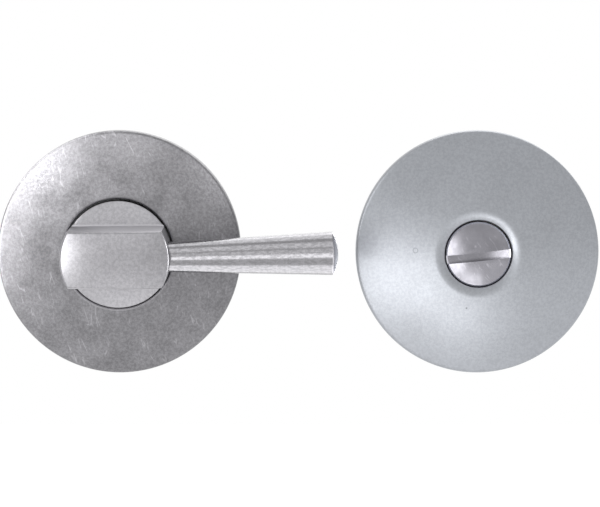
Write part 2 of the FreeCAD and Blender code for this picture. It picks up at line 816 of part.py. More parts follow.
def release_head(pitch):
    """The coin head, turned in one with its stem, with a slot sunk across it by a disc cutter."""
    body = new_body("release_head", across=size("axis_spacing"), pitch=pitch)
    radius, rise, bevel = size("head_radius"), size("head_dome"), size("head_chamfer")
    inner = radius - bevel
    dome = kept("head_sphere", (inner * inner + rise * rise) / (rise * 2))
    revolve(body, "head_turned", stem_outline() + [
        (size("stem_radius"), HEAD_UNDERSIDE),
        (radius, HEAD_UNDERSIDE),
        (radius, HEAD_EDGE - bevel),
        (inner, HEAD_EDGE, dome, "left"),
        (0, HEAD_EDGE + rise),
    ])
    square_socket(body, "head_socket")
    slot = new_sketch(body, "slot_outline", "XZ_Plane", size("slot_drop") - size("slot_width") / 2)
    disc_height = HEAD_EDGE - size("slot_depth") + size("slot_disc")
    circles(slot, [(0, disc_height, size("slot_disc"))])
    cut(body, "coin_slot", slot, size("slot_width"), along_normal=True)
    return body


def build():
    turned, slotted = size("turn_rest_angle"), size("slot_rest_angle")
    beside = size("axis_spacing")
    return [
        turn_rose(),
        back_plate("turn_back_plate", TURN_BOSS),
        bush("turn_bush", TURN_BOSS, TURN_BUSH_TOP),
        thrust_washer("turn_thrust_washer"),
        fixing_bolt("upper_fixing_bolt", FIXING_OFFSET),
        fixing_bolt("lower_fixing_bolt", -FIXING_OFFSET),
        thumb_turn(turned),
        turn_lever(turned),
        lever_stud(turned),
        spring_washer("turn_spring_washer", TURN_SPRING_RADIUS, TURN_BUSH_TOP, 0, turned),
        circlip("turn_circlip", 0, turned),
        spindle(turned),
        spindle_grub_screw(turned),
        release_rose(),
        back_plate("release_back_plate", RELEASE_BOSS, beside),
        bush("release_bush", RELEASE_BOSS, RELEASE_BUSH_TOP, beside),
        thrust_washer("release_thrust_washer", beside),
        fixing_sleeve("upper_fixing_sleeve", FIXING_OFFSET),
        fixing_sleeve("lower_fixing_sleeve", -FIXING_OFFSET),
        release_head(slotted),
        spring_washer(
            "release_spring_washer", RELEASE_SPRING_RADIUS, RELEASE_BUSH_TOP, beside, slotted
        ),
        circlip("release_circlip", beside, slotted),
    ]


def check(pieces):
    """Stops if anything in the document failed, or a piece isn't one sound solid."""
    failed = [o.Name for o in DOC.Objects if {"Invalid", "Error"} & set(o.State)]
    if failed:
        raise RuntimeError(f"failed objects: {failed}")
    for piece in pieces:
        shape = piece.Shape
        if shape.isNull() or not shape.isValid() or len(shape.Solids) != 1:
            raise RuntimeError(f"{piece.Label} isn't one sound solid")


PIECES = build()
DOC.recompute()
check(PIECES)
os.makedirs("parts", exist_ok=True)
for piece in PIECES:
    piece.Shape.exportStep(os.path.join("parts", f"{piece.Label}.step"))
    print(piece.Label, round(piece.Shape.Volume, 2))
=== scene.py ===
"""Bathroom thumb turn lock: the thumb turn and the coin release, finished and lit."""
import json
import math

import bmesh
import bpy
from bpy.props import FloatProperty, FloatVectorProperty, IntProperty, PointerProperty
from mathutils import Matrix, Vector


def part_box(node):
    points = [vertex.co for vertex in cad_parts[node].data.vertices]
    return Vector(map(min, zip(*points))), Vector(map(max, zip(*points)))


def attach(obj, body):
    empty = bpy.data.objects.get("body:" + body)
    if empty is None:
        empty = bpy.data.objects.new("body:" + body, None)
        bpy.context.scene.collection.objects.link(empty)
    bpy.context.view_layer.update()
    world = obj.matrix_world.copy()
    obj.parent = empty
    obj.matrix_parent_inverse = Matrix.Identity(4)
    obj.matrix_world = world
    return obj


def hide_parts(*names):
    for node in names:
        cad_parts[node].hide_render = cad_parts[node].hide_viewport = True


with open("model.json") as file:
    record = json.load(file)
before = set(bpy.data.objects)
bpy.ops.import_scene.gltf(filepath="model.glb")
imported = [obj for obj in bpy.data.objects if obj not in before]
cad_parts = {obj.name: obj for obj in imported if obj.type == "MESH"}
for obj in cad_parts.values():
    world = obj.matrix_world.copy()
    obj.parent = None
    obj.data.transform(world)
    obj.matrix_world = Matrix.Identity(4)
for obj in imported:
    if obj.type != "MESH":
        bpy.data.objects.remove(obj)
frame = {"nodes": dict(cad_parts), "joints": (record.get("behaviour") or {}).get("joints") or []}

bl_info = {
    "name": "Thumb turn lock",
    "version": (1, 0, 0),
    "blender": (4, 5, 0),
    "location": "3D view > Sidebar > Thumb turn lock",
    "description": "Models and finishes a bathroom thumb turn and its coin release",
    "category": "Object",
}

# The frame: the door face is y = 0 and the front looks along -y

MM = 0.001
SHARP = math.radians(30)
SAME_SPOT = 1e-6
ON_LINE = 1e-7
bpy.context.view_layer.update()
PIVOTS = {joint["child"]: Vector(joint["pos_m"]) for joint in frame["joints"]}
TURN_X = PIVOTS["turn"].x
RELEASE_X = PIVOTS["release"].x
FRONT = Vector((0, -1, 0))
KNOB_BOX_FRONT = -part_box("thumb_turn")[0].y
HEAD_BOX_FRONT = -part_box("release_head")[0].y
LEVER_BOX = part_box("turn_lever")
CLIP_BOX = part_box("turn_circlip")
BOLT_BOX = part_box("upper_fixing_bolt")
SLEEVE_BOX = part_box("upper_fixing_sleeve")


def size(name, default, note):
    """A length in metres that a user can change, drawn from its value in millimetres."""
    return FloatProperty(
        name=name, description=note, default=default * MM, precision=6, unit="LENGTH"
    )


def degrees(name, default, note):
    """An angle that a user can change, drawn from its value in degrees."""
    return FloatProperty(
        name=name, description=note, default=math.radians(default), subtype="ANGLE"
    )


def tint(name, red, green, blue, note):
    """A colour that a user can change."""
    return FloatVectorProperty(
        name=name, description=note, subtype="COLOR", default=(red, green, blue), min=0, max=1
    )


# Sizes and colours

class RoseSizes(bpy.types.PropertyGroup):
    """Sizes of the two domed roses."""

    radius: size("Radius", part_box("turn_rose")[1].x / MM, "Outside radius of a rose")
    wall: size("Wall", 1.5, "Thickness of the pressed sheet")
    dome: size("Dome radius", 64, "Radius of the sphere that the front belongs to")
    rim_height: size("Rim height", 2.6, "Height of the dome's underside at the rim")
    shoulder: size("Shoulder", 1.0, "Round between the dome and the rim")
    lip: size("Lip", 0.4, "Round at the edge of the hole")
    turn_hole: size("Turn hole", 11.7, "Radius of the hole round the knob")
    release_hole: size("Release hole", 7.18, "Radius of the hole round the coin head")
    turn_rise: size("Turn rise", 0.17, "Height by which play lifts the turn's rose")
    release_rise: size("Release rise", 0.06, "Height by which play lifts the release's rose")
    rise_reach: size("Rise reach", 3.0, "Distance from the hole over which a lift fades out")
    roll_bend: size("Roll", 1.8, "Inside radius of the roll into the release's hole")
    roll_turn: degrees("Roll angle", 80, "How far the underside of the roll turns")
    steps: IntProperty(name="Steps", description="Facets round a rose", default=288, min=24)


class StemSizes(bpy.types.PropertyGroup):
    """Sizes of the stems behind the knob and the coin head."""

    radius: size("Radius", 5.0, "Outside radius of a stem")
    length: size("Length", 12.0, "Reach of a stem behind the door face")
    end_bevel: size("End bevel", 0.3, "Bevel at the end of a stem")
    groove: size("Groove", 4.55, "Radius at the bottom of the clip's groove")
    play: size("Play", 0.03, "Clearance each side of the clip")
    socket: size("Socket", 5.1, "Width of the square socket")
    socket_depth: size("Socket depth", 2.0, "Reach of the socket in front of the door face")


class KnobSizes(bpy.types.PropertyGroup):
    """Sizes of the knob and its bar."""

    radius: size("Radius", 11.5, "Radius of the turned knob")
    front: size("Front", -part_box("thumb_turn")[0].y / MM, "Height of the bar's face")
    face_dome: size("Face dome", 45, "Radius of the sphere that the bar's face belongs to")
    bar_height: size("Bar height", 13.6, "Height of the bar over the flange")
    bar_width: size("Bar width", 12, "Width across the bar's two milled sides")
    bar_edge: size("Bar edge", 0.6, "Bevel round the bar's face")
    foot: size("Foot round", 0.4, "Round where a side meets the flange")
    flange: size("Flange", 2.0, "Thickness of the flange")
    land_edge: size("Land edge", 0.45, "Bevel round the flange")
    lever_seat: size("Lever seat", 10.7, "Distance of the lever's flat seat from the axis")
    seat_radius: size("Seat radius", 3.3, "Radius of the lever's seat")
    stud_bore: size("Stud bore", 2.05, "Radius of the tapped hole for the stud")
    stud_depth: size("Stud depth", 7.0, "Depth of the tapped hole behind the seat")
    grub_height: size("Grub height", 7.0, "Distance of the grub screw behind the door face")


class LeverSizes(bpy.types.PropertyGroup):
    """Sizes of the lever."""

    seat_gap: size("Seat gap", 0.03, "Clearance between lever and seat")
    root: size("Root", 3.1, "Radius at the knob")
    tip: size("Tip", 4.6, "Radius at the end")
    reach: size("Reach", 46.7, "Distance of the end from the axis")
    dome: size("End dome", 0.9, "Rise of the domed end")
    edge: size("End edge", 0.25, "Bevel round the domed end")
    bore: size("Bore", 2.05, "Radius of the hole for the stud")
    bore_depth: size("Bore depth", 7.0, "Depth of the hole for the stud")
    angle: degrees("Angle", 0.4, "Tilt of the knob at rest")
    tilt: degrees("Tilt", 1.0, "Tilt of the lever against the knob, about its seat")


class HeadSizes(bpy.types.PropertyGroup):
    """Sizes of the coin head."""

    radius: size("Radius", 6.9, "Radius of the head")
    proud: size("Proud", -0.05, "Height of the head's edge over the rose's lip")
    thickness: size("Thickness", 2.4, "Thickness of the head at its edge")
    dome: size("Dome", 0.8, "Rise of the domed front")
    chamfer: size("Chamfer", 0.32, "Bevel round the head")
    slot_width: size("Slot width", 1.8, "Width of the coin slot")
    slot_drop: size("Slot drop", 0.5, "Distance of the coin slot under the middle")
    slot_depth: size("Slot depth", 1.5, "Depth of the coin slot's middle under the head's edge")
    slot_disc: size("Slot disc", 26, "Radius of the disc that mills the slot")
    angle: degrees("Angle", 6, "Tilt of the slot at rest")


class FixingSizes(bpy.types.PropertyGroup):
    """Sizes of the bolts, the sleeves and the stud."""

    thread: size("Thread", 2.0, "Outside radius of the threads")
    thread_depth: size("Thread depth", 0.3, "Depth of the threads")
    pitch: size("Pitch", 0.7, "Rise of a thread in one turn")
    neck: size("Neck", 2.1, "Radius of a bolt's neck in the plate")
    point: size("Point", 0.5, "Bevel at a bolt's end")
    bolt_edge: size("Bolt edge", 0.15, "Bevel round a bolt's head")
    cross_width: size("Cross width", 0.9, "Width of a bolt's cross recess")
    cross_length: size("Cross length", 4.4, "Length of a bolt's cross recess")
    cross_depth: size("Cross depth", 1.1, "Depth of a bolt's cross recess")
    sleeve_radius: size("Sleeve radius", 3.2, "Outside radius of a sleeve")
    sleeve_bore: size("Sleeve bore", 2.05, "Radius of a sleeve's threaded bore")
    sleeve_mouth: size("Sleeve mouth", 0.35, "Bevel at a sleeve's mouth")
    sleeve_edge: size("Sleeve edge", 0.3, "Bevel at a sleeve's end")
    sleeve_floor: size("Sleeve floor", 2.0, "Depth of metal in front of the bore")
    sleeve_spigot: size("Sleeve spigot", 2.22, "Radius of the riveted spigot")
    stud_length: size("Stud length", 13.0, "Length of the stud between knob and lever")


class Finishes(bpy.types.PropertyGroup):
    """Colours of the bare metals and the nylon."""

    turn_satin: tint("Turn satin", 0.205, 0.202, 0.212, "Brushed aluminium of the turn")
    release_satin: tint("Release satin", 0.334, 0.346, 0.371, "Blasted aluminium of the release")
    polished: tint("Polished head", 0.256, 0.252, 0.276, "Polished coin head")
    zinc: tint("Zinc plate", 0.420, 0.430, 0.440, "Zinc on the pressed plates")
    bright: tint("Bright steel", 0.440, 0.445, 0.455, "Bright plated fixings")
    spring: tint("Spring steel", 0.200, 0.210, 0.230, "Phosphated spring steel")
    black: tint("Black oxide", 0.060, 0.060, 0.065, "Black grub screw")
    nylon: tint("Nylon", 0.780, 0.780, 0.740, "Natural nylon of the bushes")


class StudioSettings(bpy.types.PropertyGroup):
    """Camera, floor and lamps."""

    distance: size("Camera distance", 600, "Distance of the camera from its target")
    pixels_per_metre: FloatProperty(
        name="Scale", description="Size of the object in the picture", default=4668
    )
    elevation: degrees("Elevation", 5.6, "Height of the view")
    target: FloatVectorProperty(
        name="Target",
        description="What the camera looks at",
        default=(0.03866, -0.003, -0.0003),
        subtype="XYZ",
        unit="LENGTH",
    )
    floor_drop: size("Floor drop", 1000, "Distance of the floor under the axes")
    ambient: FloatProperty(
        name="Ambient", description="Brightness of the even light all round", default=0.6, min=0
    )


# Facets round a turned piece, and along the rounds of its outline

LEVER_STEPS, HEAD_STEPS, SLOT_STEPS, SLEEVE_STEPS = 128, 192, 360, 64
DOME_STEPS, UNDERSIDE_STEPS, SHOULDER_STEPS = 40, 24, 10
LIP_STEPS, ROLL_STEPS, BEND_STEPS = 6, 24, 12
LEVER_DOME_STEPS, HEAD_DOME_STEPS = 10, 14
FACE_COLUMNS, FACE_ROWS, FOOT_STEPS, THREAD_STEPS = 56, 28, 5, 32

# A thread's foot, the start of its crest and its end, as shares of the pitch
THREAD_FOOT, THREAD_CREST, THREAD_END = 0.12, 0.46, 0.58

# Size of a cross recess at its floor and above its mouth, as shares of its named size
CROSS_FLOOR, CROSS_MOUTH = 0.72, 1.12


# Meshes

def arc(centre, radius, start, end, steps):
    """Points of an outline on a round, between two angles from the radial direction."""
    across, height = centre
    for step in range(steps + 1):
        angle = start + (end - start) * step / steps
        yield across + radius * math.cos(angle), height + radius * math.sin(angle)


def round_inside(small, across, big, centre):
    """The height of a small round that touches a big one from within, and the touching angle."""
    reach = big - small
    aside = across - centre[0]
    rise = math.sqrt(reach**2 - aside**2)
    return centre[1] + rise, math.atan2(rise, aside)


def spin_outline(spots, centre, axis, steps, closed=False, rise=0.0):
    """Turns an outline once round an axis, with a rise along it for a screw thread."""
    bm = bmesh.new()
    made = [bm.verts.new(spot) for spot in spots]
    pairs = list(zip(made, made[1:]))
    if closed:
        pairs.append((made[-1], made[0]))
    edges = [bm.edges.new(pair) for pair in pairs]
    bmesh.ops.spin(
        bm,
        geom=made + edges,
        cent=centre,
        axis=axis,
        dvec=Vector(axis) * rise / steps,
        angle=math.tau,
        steps=steps,
        use_merge=not rise,
        use_duplicate=False,
    )
    return bm


def lathe(outline, axis_x, steps, closed=False):
    """Turns an outline of (radius, height) points round a half's axis."""
    spots = [(axis_x + radius, -height, 0) for radius, height in outline]
    bm = spin_outline(spots, (axis_x, 0, 0), FRONT, steps, closed)
    tidy(bm)
    return bm


def merge(bm):
    """Merges doubles and drops empty faces."""
    bmesh.ops.remove_doubles(bm, verts=bm.verts, dist=SAME_SPOT)
    bmesh.ops.dissolve_degenerate(bm, edges=bm.edges, dist=ON_LINE)


def tidy(bm):
    """Merges a bmesh and turns every face outwards."""
    merge(bm)
    bmesh.ops.recalc_face_normals(bm, faces=bm.faces)


def radius_of(vert, axis_x):
    """A vertex's distance from a half's axis."""
    return math.hypot(vert.co.x - axis_x, vert.co.z)


def store(bm, mesh):
    """Puts a bmesh in a mesh, smooth but for its sharp edges."""
    bm.to_mesh(mesh)
    bm.free()
    mesh.shade_smooth()
    mesh.set_sharp_from_angle(angle=SHARP)


def mesh_object(bm, name):
    """Makes an object of a bmesh."""
    mesh = bpy.data.meshes.new(name)
    store(bm, mesh)
    made = bpy.data.objects.new(name, mesh)
    bpy.context.scene.collection.objects.link(made)
    return made


def cut(piece, tools):
    """Cuts tools out of a piece, removes them, and marks the piece's sharp edges anew."""
    for tool in tools:
        change = piece.modifiers.new("Cut", "BOOLEAN")
        change.operation = "DIFFERENCE"
        change.solver = "EXACT"
        change.object = tool
    graph = bpy.context.evaluated_depsgraph_get()
    mesh = bpy.data.meshes.new_from_object(piece.evaluated_get(graph))
    piece.modifiers.clear()
    old = piece.data
    piece.data = mesh
    bpy.data.meshes.remove(old)
    mesh.name = piece.name
    for tool in tools:
        bpy.data.meshes.remove(tool.data)
    bm = bmesh.new()
    bm.from_mesh(mesh)
    merge(bm)
    store(bm, mesh)


def cutter(bm):
    """An object from a bmesh, to cut with."""
    bmesh.ops.recalc_face_normals(bm, faces=bm.faces)
    return mesh_object(bm, "cutter")


def round_bar(start, end, radius, steps=64):
    """A plain cylinder between two points, to cut with."""
    start, end = Vector(start), Vector(end)
    along = end - start
    bm = bmesh.new()
    bmesh.ops.create_cone(
        bm, cap_ends=True, segments=steps, radius1=radius, radius2=radius, depth=along.length
    )
    turn = along.to_track_quat("Z", "Y").to_matrix().to_4x4()
    bmesh.ops.transform(bm, matrix=Matrix.Translation((start + end) / 2) @ turn, verts=bm.verts)
    return cutter(bm)


def box_between(low, high):
    """A box with two given corners, to cut with."""
    low, high = Vector(low), Vector(high)
    bm = bmesh.new()
    bmesh.ops.create_cube(bm, size=1)
    bmesh.ops.scale(bm, vec=high - low, verts=bm.verts)
    bmesh.ops.translate(bm, vec=(low + high) / 2, verts=bm.verts)
    return cutter(bm)


def pitched(bm, angle, axis_x):
    """Turns a bmesh about a half's axis, anticlockwise as seen from the front."""
    turn = Matrix.Rotation(-angle, 4, "Y")
    bmesh.ops.rotate(bm, cent=(axis_x, 0, 0), matrix=turn, verts=bm.verts)


def pitch_piece(piece, angle, axis_x):
    """Turns a finished piece's mesh as pitched turns a bmesh."""
    there = Matrix.Translation((axis_x, 0, 0))
    piece.data.transform(there @ Matrix.Rotation(-angle, 4, "Y") @ there.inverted())


def fit(piece, body, nodes, material):
    """Dresses a new piece and lets it stand for CAD nodes."""
    piece.data.materials.clear()
    piece.data.materials.append(material)
    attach(piece, body)
    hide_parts(*nodes)


def finish_node(name, material):
    """Gives a carried-over CAD node its material."""
    data = frame["nodes"][name].data
    data.materials.clear()
    data.materials.append(material)


# Roses

def dome_centre(rose):
    """The height of the centre of the dome."""
    inner = rose.radius - rose.wall
    return rose.rim_height - math.sqrt((rose.dome - rose.wall) ** 2 - inner**2)


def rim_outline(rose, start):
    """Outline of a rose from an angle on its dome, over the shoulder and back under the dome."""
    centre = (0, dome_centre(rose))
    across = rose.radius - rose.shoulder
    shoulder, meets = round_inside(rose.shoulder, across, rose.dome, centre)
    inner = rose.radius - rose.wall
    yield from arc(centre, rose.dome, start, meets, DOME_STEPS)
    yield from arc((across, shoulder), rose.shoulder, meets, 0, SHOULDER_STEPS)
    yield rose.radius, 0
    yield inner, 0
    yield inner, rose.rim_height


def underside(rose, end):
    """Outline of the dome's underside, from the rim in to an angle."""
    centre = (0, dome_centre(rose))
    inner = rose.radius - rose.wall
    start = math.atan2(rose.rim_height - centre[1], inner)
    yield from arc(centre, rose.dome - rose.wall, start, end, UNDERSIDE_STEPS)


def raise_hole(bm, axis_x, hole, rise, reach):
    """Lets a rose sit a little high round the piece that turns in it."""
    for vert in bm.verts:
        share = (hole + reach - radius_of(vert, axis_x)) / reach
        vert.co.z += rise * min(1, max(0, share))


def turn_rose_outline(rose):
    """Outline of the turn's rose, from its plain hole."""
    centre = (0, dome_centre(rose))
    across = rose.turn_hole + rose.lip
    lip, meets = round_inside(rose.lip, across, rose.dome, centre)
    yield from arc((across, lip), rose.lip, math.pi, meets, LIP_STEPS)
    yield from rim_outline(rose, meets)
    yield from underside(rose, math.acos(rose.turn_hole / (rose.dome - rose.wall)))


def roll_of(rose):
    """Centre of the roll round the release's hole, its outside radius and where the dome ends."""
    outside = rose.roll_bend + rose.wall
    across = rose.release_hole + rose.roll_bend * math.sin(rose.roll_turn)
    height, meets = round_inside(outside, across, rose.dome, (0, dome_centre(rose)))
    return (across, height), outside, meets


def release_lip(rose):
    """Centre of the lip's round at the release's hole, and the angle where it meets the roll."""
    centre, outside, _ = roll_of(rose)
    across = rose.release_hole + rose.lip
    height, meets = round_inside(rose.lip, across, outside, centre)
    return (across, height), meets


def release_rose_outline(rose):
    """Outline of the release's rose, from the roll into its hole."""
    centre, outside, dome_from = roll_of(rose)
    lip, lip_meets = release_lip(rose)
    yield from arc(lip, rose.lip, math.pi, lip_meets, LIP_STEPS)
    yield from arc(centre, outside, lip_meets, dome_from, ROLL_STEPS)
    yield from rim_outline(rose, dome_from)
    yield from underside(rose, dome_from)
    bend_ends = math.pi / 2 + rose.roll_turn
    yield from arc(centre, rose.roll_bend, dome_from, bend_ends, BEND_STEPS)


# Stems, knob and lever

# Turns a piece that was built along z to face the front
STAND = Matrix.Rotation(math.radians(90), 4, "X")


def stem_outline(stem, top):
    """Outline of a stem from its closed end to where the head or knob begins."""
    back, front = -CLIP_BOX[1].y - stem.play, -CLIP_BOX[0].y + stem.play
    yield 0, -stem.length
    yield stem.radius - stem.end_bevel, -stem.length
    yield stem.radius, -stem.length + stem.end_bevel
    yield stem.radius, back
    yield stem.groove, back
    yield stem.groove, front
    yield stem.radius, front
    yield stem.radius, top


def socket_tool(stem, axis_x):
    """The square socket, from in front of the door face to past the stem's end."""
    half = stem.socket / 2
    low = (axis_x - half, -stem.socket_depth, -half)
    return box_between(low, (axis_x + half, 2 * stem.length, half))


def extrude_rim(bm, edges, place):
    """Extrudes edges of an open rim and puts each new vertex where place says."""
    made = bmesh.ops.extrude_edge_only(bm, edges=edges)["geom"]
    for vert in (item for item in made if isinstance(item, bmesh.types.BMVert)):
        vert.co = place(vert.co)


def open_rim(bm):
    """The edges that have a face on one side only."""
    return [edge for edge in bm.edges if edge.is_boundary]


def bar_width_at(knob, y):
    """Half the bar's length at a distance from its middle line, inside the turned outline."""
    return math.sqrt(knob.radius**2 - y**2)


def bar_face(bm, knob):
    """The bar's domed face: a grid between the two milled sides and the two turned ends."""
    bmesh.ops.create_grid(bm, x_segments=FACE_COLUMNS, y_segments=FACE_ROWS, size=1)
    half = knob.bar_width / 2
    for vert in bm.verts:
        y = vert.co.y * half
        x = vert.co.x * bar_width_at(knob, y)
        sunk = knob.face_dome - math.sqrt(knob.face_dome**2 - x**2 - y**2)
        vert.co = (x, y, knob.front - sunk)


def widen_bar(knob, half, wider, height):
    """Says where the bar's outline lies once its sides stand further apart."""

    def place(spot):
        if abs(spot.y) > half - ON_LINE:
            share = spot.x / bar_width_at(knob, half)
            side = math.copysign(wider, spot.y)
            return Vector((share * bar_width_at(knob, wider), side, height))
        y = spot.y * wider / half
        return Vector((math.copysign(bar_width_at(knob, y), spot.x), y, height))

    return place


def bar_sides(bm, knob, land):
    """The bar's walls, down to the flange over a small round, and half their distance there."""
    half = knob.bar_width / 2
    extrude_rim(bm, open_rim(bm), widen_bar(knob, half, half, land + knob.foot))
    for step in range(1, FOOT_STEPS + 1):
        turn = math.pi / 2 * step / FOOT_STEPS
        wider = knob.bar_width / 2 + knob.foot * (1 - math.cos(turn))
        height = land + knob.foot * (1 - math.sin(turn))
        extrude_rim(bm, open_rim(bm), widen_bar(knob, half, wider, height))
        half = wider
    return half


def flange_front(bm, knob, land, half):
    """The two flat lands beside the bar, from its foot out to the turned edge."""
    spread = math.acos(half / knob.radius)

    def place(spot):
        turn = spot.x / bar_width_at(knob, half) * spread
        side = math.copysign(1, spot.y)
        return Vector((knob.radius * math.sin(turn), side * knob.radius * math.cos(turn), land))

    beside = [
        edge for edge in open_rim(bm) if all(abs(v.co.y) > half - ON_LINE for v in edge.verts)
    ]
    extrude_rim(bm, beside, place)
    bmesh.ops.remove_doubles(bm, verts=bm.verts, dist=SAME_SPOT)


def ring_place(radius, height):
    """Says where a rim lies once it is a ring of a radius at a height."""

    def place(spot):
        across = Vector((spot.x, spot.y)).normalized() * radius
        return Vector((across.x, across.y, height))

    return place


def on_land_rim(knob, land, half, spot):
    """Whether a point lies on the turned edge of the lands."""
    turned = abs(math.hypot(spot.x, spot.y) - knob.radius) < ON_LINE
    return turned and abs(spot.z - land) < ON_LINE and abs(spot.y) > half - ON_LINE


def knob_mesh(knob, stem):
    """The knob and its stem as one closed mesh."""
    land = knob.front - knob.bar_height
    bm = bmesh.new()
    bar_face(bm, knob)
    face_rim = open_rim(bm)
    half = bar_sides(bm, knob, land)
    flange_front(bm, knob, land, half)
    extrude_rim(bm, open_rim(bm), ring_place(knob.radius, land - knob.flange))
    outline = list(stem_outline(stem, land - knob.flange))
    for radius, height in reversed(outline[1:]):
        extrude_rim(bm, open_rim(bm), ring_place(radius, height))
    bmesh.ops.edgeloop_fill(bm, edges=open_rim(bm))
    land_rim = [
        edge for edge in bm.edges if all(on_land_rim(knob, land, half, v.co) for v in edge.verts)
    ]
    for edges, offset, segments in ((land_rim, knob.land_edge, 2), (face_rim, knob.bar_edge, 4)):
        bmesh.ops.bevel(
            bm,
            geom=edges,
            offset=offset,
            offset_type="OFFSET",
            segments=segments,
            profile=0.5,
            affect="EDGES",
            clamp_overlap=False,
            material=-1,
        )
    bmesh.ops.transform(bm, matrix=STAND, verts=bm.verts)
    tidy(bm)
    return bm


def lever_height():
    """The height of the lever's middle line over the door face."""
    return -(LEVER_BOX[0].y + LEVER_BOX[1].y) / 2


def tilted(bm, knob, lever):
    """Tilts a bmesh that lies along the lever about the lever's seat on the knob."""
    turn = Matrix.Rotation(-lever.tilt, 4, "Y")
    bmesh.ops.rotate(bm, cent=(knob.lever_seat, 0, 0), matrix=turn, verts=bm.verts)


def knob_tools(knob, stem, lever):
    """The lever's seat and tapped hole, the grub screw's hole and the square socket."""
    seat = Vector((knob.lever_seat, -lever_height(), 0))
    out = Vector((math.cos(lever.tilt), 0, math.sin(lever.tilt)))
    grub = Vector((0, knob.grub_height, 0))
    return [
        round_bar(seat, seat + out * knob.radius, knob.seat_radius),
        round_bar(seat - out * knob.stud_depth, seat + out * knob.radius, knob.stud_bore),
        round_bar(grub, grub + Vector((2 * stem.radius, 0, 0)), knob.stud_bore),
        socket_tool(stem, 0),
    ]


def lever_outline(lever, knob):
    """Outline of the lever as distance from the axis and radius, from its hole to its tip."""
    root = knob.lever_seat + lever.seat_gap
    shoulder, inner = lever.reach - lever.dome, lever.tip - lever.edge
    sphere = (inner**2 + lever.dome**2) / (2 * lever.dome)
    yield root + lever.bore_depth, 0
    yield root + lever.bore_depth, lever.bore
    yield root, lever.bore
    yield root, lever.root - lever.edge / 3
    yield root + lever.edge / 3, lever.root
    yield shoulder - lever.edge, lever.tip
    spread = math.asin(inner / sphere)
    yield from arc((lever.reach - sphere, 0), sphere, spread, 0, LEVER_DOME_STEPS)


def lever_mesh(lever, knob):
    """The lever, turned along x and level."""
    deep = -lever_height()
    spots = [(away, deep, radius) for away, radius in lever_outline(lever, knob)]
    bm = spin_outline(spots, (0, deep, 0), (1, 0, 0), LEVER_STEPS)
    tidy(bm)
    return bm


# Coin head

def head_front(rose, head):
    """The height of the coin head's edge."""
    centre, outside, _ = roll_of(rose)
    _, meets = release_lip(rose)
    return centre[1] + outside * math.sin(meets) + head.proud


def head_outline(head, stem, edge):
    """Outline of the coin head and its stem, from the stem's end to the middle of the front."""
    inner = head.radius - head.chamfer
    sphere = (inner**2 + head.dome**2) / (2 * head.dome)
    yield from stem_outline(stem, edge - head.thickness)
    yield head.radius, edge - head.thickness
    yield head.radius, edge - head.chamfer
    start = math.acos(inner / sphere)
    middle = (0, edge + head.dome - sphere)
    yield from arc(middle, sphere, start, math.pi / 2, HEAD_DOME_STEPS)


def slot_tool(head, edge):
    """The coin slot, milled by a disc, so its floor is hollow along its length."""
    bm = bmesh.new()
    bmesh.ops.create_cone(
        bm,
        cap_ends=True,
        segments=SLOT_STEPS,
        radius1=head.slot_disc,
        radius2=head.slot_disc,
        depth=head.slot_width,
    )
    floor = edge - head.slot_depth
    spot = (RELEASE_X, -floor - head.slot_disc, -head.slot_drop)
    bmesh.ops.translate(bm, vec=spot, verts=bm.verts)
    return cutter(bm)


# Fixings behind the plates

def thread_outline(fixing, start, turns):
    """Outline of a thread's ridges as radius and height, upwards from a height."""
    root = fixing.thread - fixing.thread_depth
    for turn in range(turns):
        height = start + turn * fixing.pitch
        yield root, height
        yield root, height + fixing.pitch * THREAD_FOOT
        yield fixing.thread, height + fixing.pitch * THREAD_CREST
        yield fixing.thread, height + fixing.pitch * THREAD_END
    yield root, start + turns * fixing.pitch


def threaded_rod(fixing, start, turns):
    """A rod with a real screw thread: its ridges rise by one pitch in a turn. Its ends are open."""
    spots = [(radius, 0, height) for radius, height in thread_outline(fixing, start, turns)]
    bm = spin_outline(spots, (0, 0, 0), (0, 0, 1), THREAD_STEPS, rise=fixing.pitch)
    bmesh.ops.remove_doubles(bm, verts=bm.verts, dist=SAME_SPOT)
    return bm


def rims_by_height(bm):
    """The two open rims of a rod, the lower one first."""
    rim = open_rim(bm)
    middle = sum(v.co.z for e in rim for v in e.verts) / (2 * len(rim))
    low = [e for e in rim if all(v.co.z < middle for v in e.verts)]
    return low, [e for e in rim if all(v.co.z > middle for v in e.verts)]


def close_rod(bm, lower, upper):
    """Carries a rod's open ends on through rings of radius and height, and closes them."""
    low, high = rims_by_height(bm)
    for rim, rings in ((low, lower), (high, upper)):
        for radius, height in rings:
            made = bmesh.ops.extrude_edge_only(bm, edges=rim)["geom"]
            spots = [g for g in made if isinstance(g, bmesh.types.BMVert)]
            rim = [g for g in made if isinstance(g, bmesh.types.BMEdge) and g.is_boundary]
            for vert in spots:
                vert.co = ring_place(radius, height)(vert.co)
        bmesh.ops.edgeloop_fill(bm, edges=rim)
    tidy(bm)


def bolt_mesh(fixing):
    """A countersunk bolt along z, with its head's face at the plate's front."""
    head, top = BOLT_BOX[1].x, -BOLT_BOX[0].y
    end = -BOLT_BOX[1].y
    run = fixing.point
    turns = int((-end - 3 * run) / fixing.pitch)
    root = fixing.thread - fixing.thread_depth
    bm = threaded_rod(fixing, end + 2 * run, turns)
    edge = fixing.bolt_edge
    lower = [(root, end + run), (root - run / 2, end)]
    upper = [
        (root, -run / 2),
        (fixing.neck, 0),
        (fixing.neck, top - edge - head + fixing.neck),
        (head, top - edge),
        (head - edge, top),
    ]
    close_rod(bm, lower, upper)
    return bm


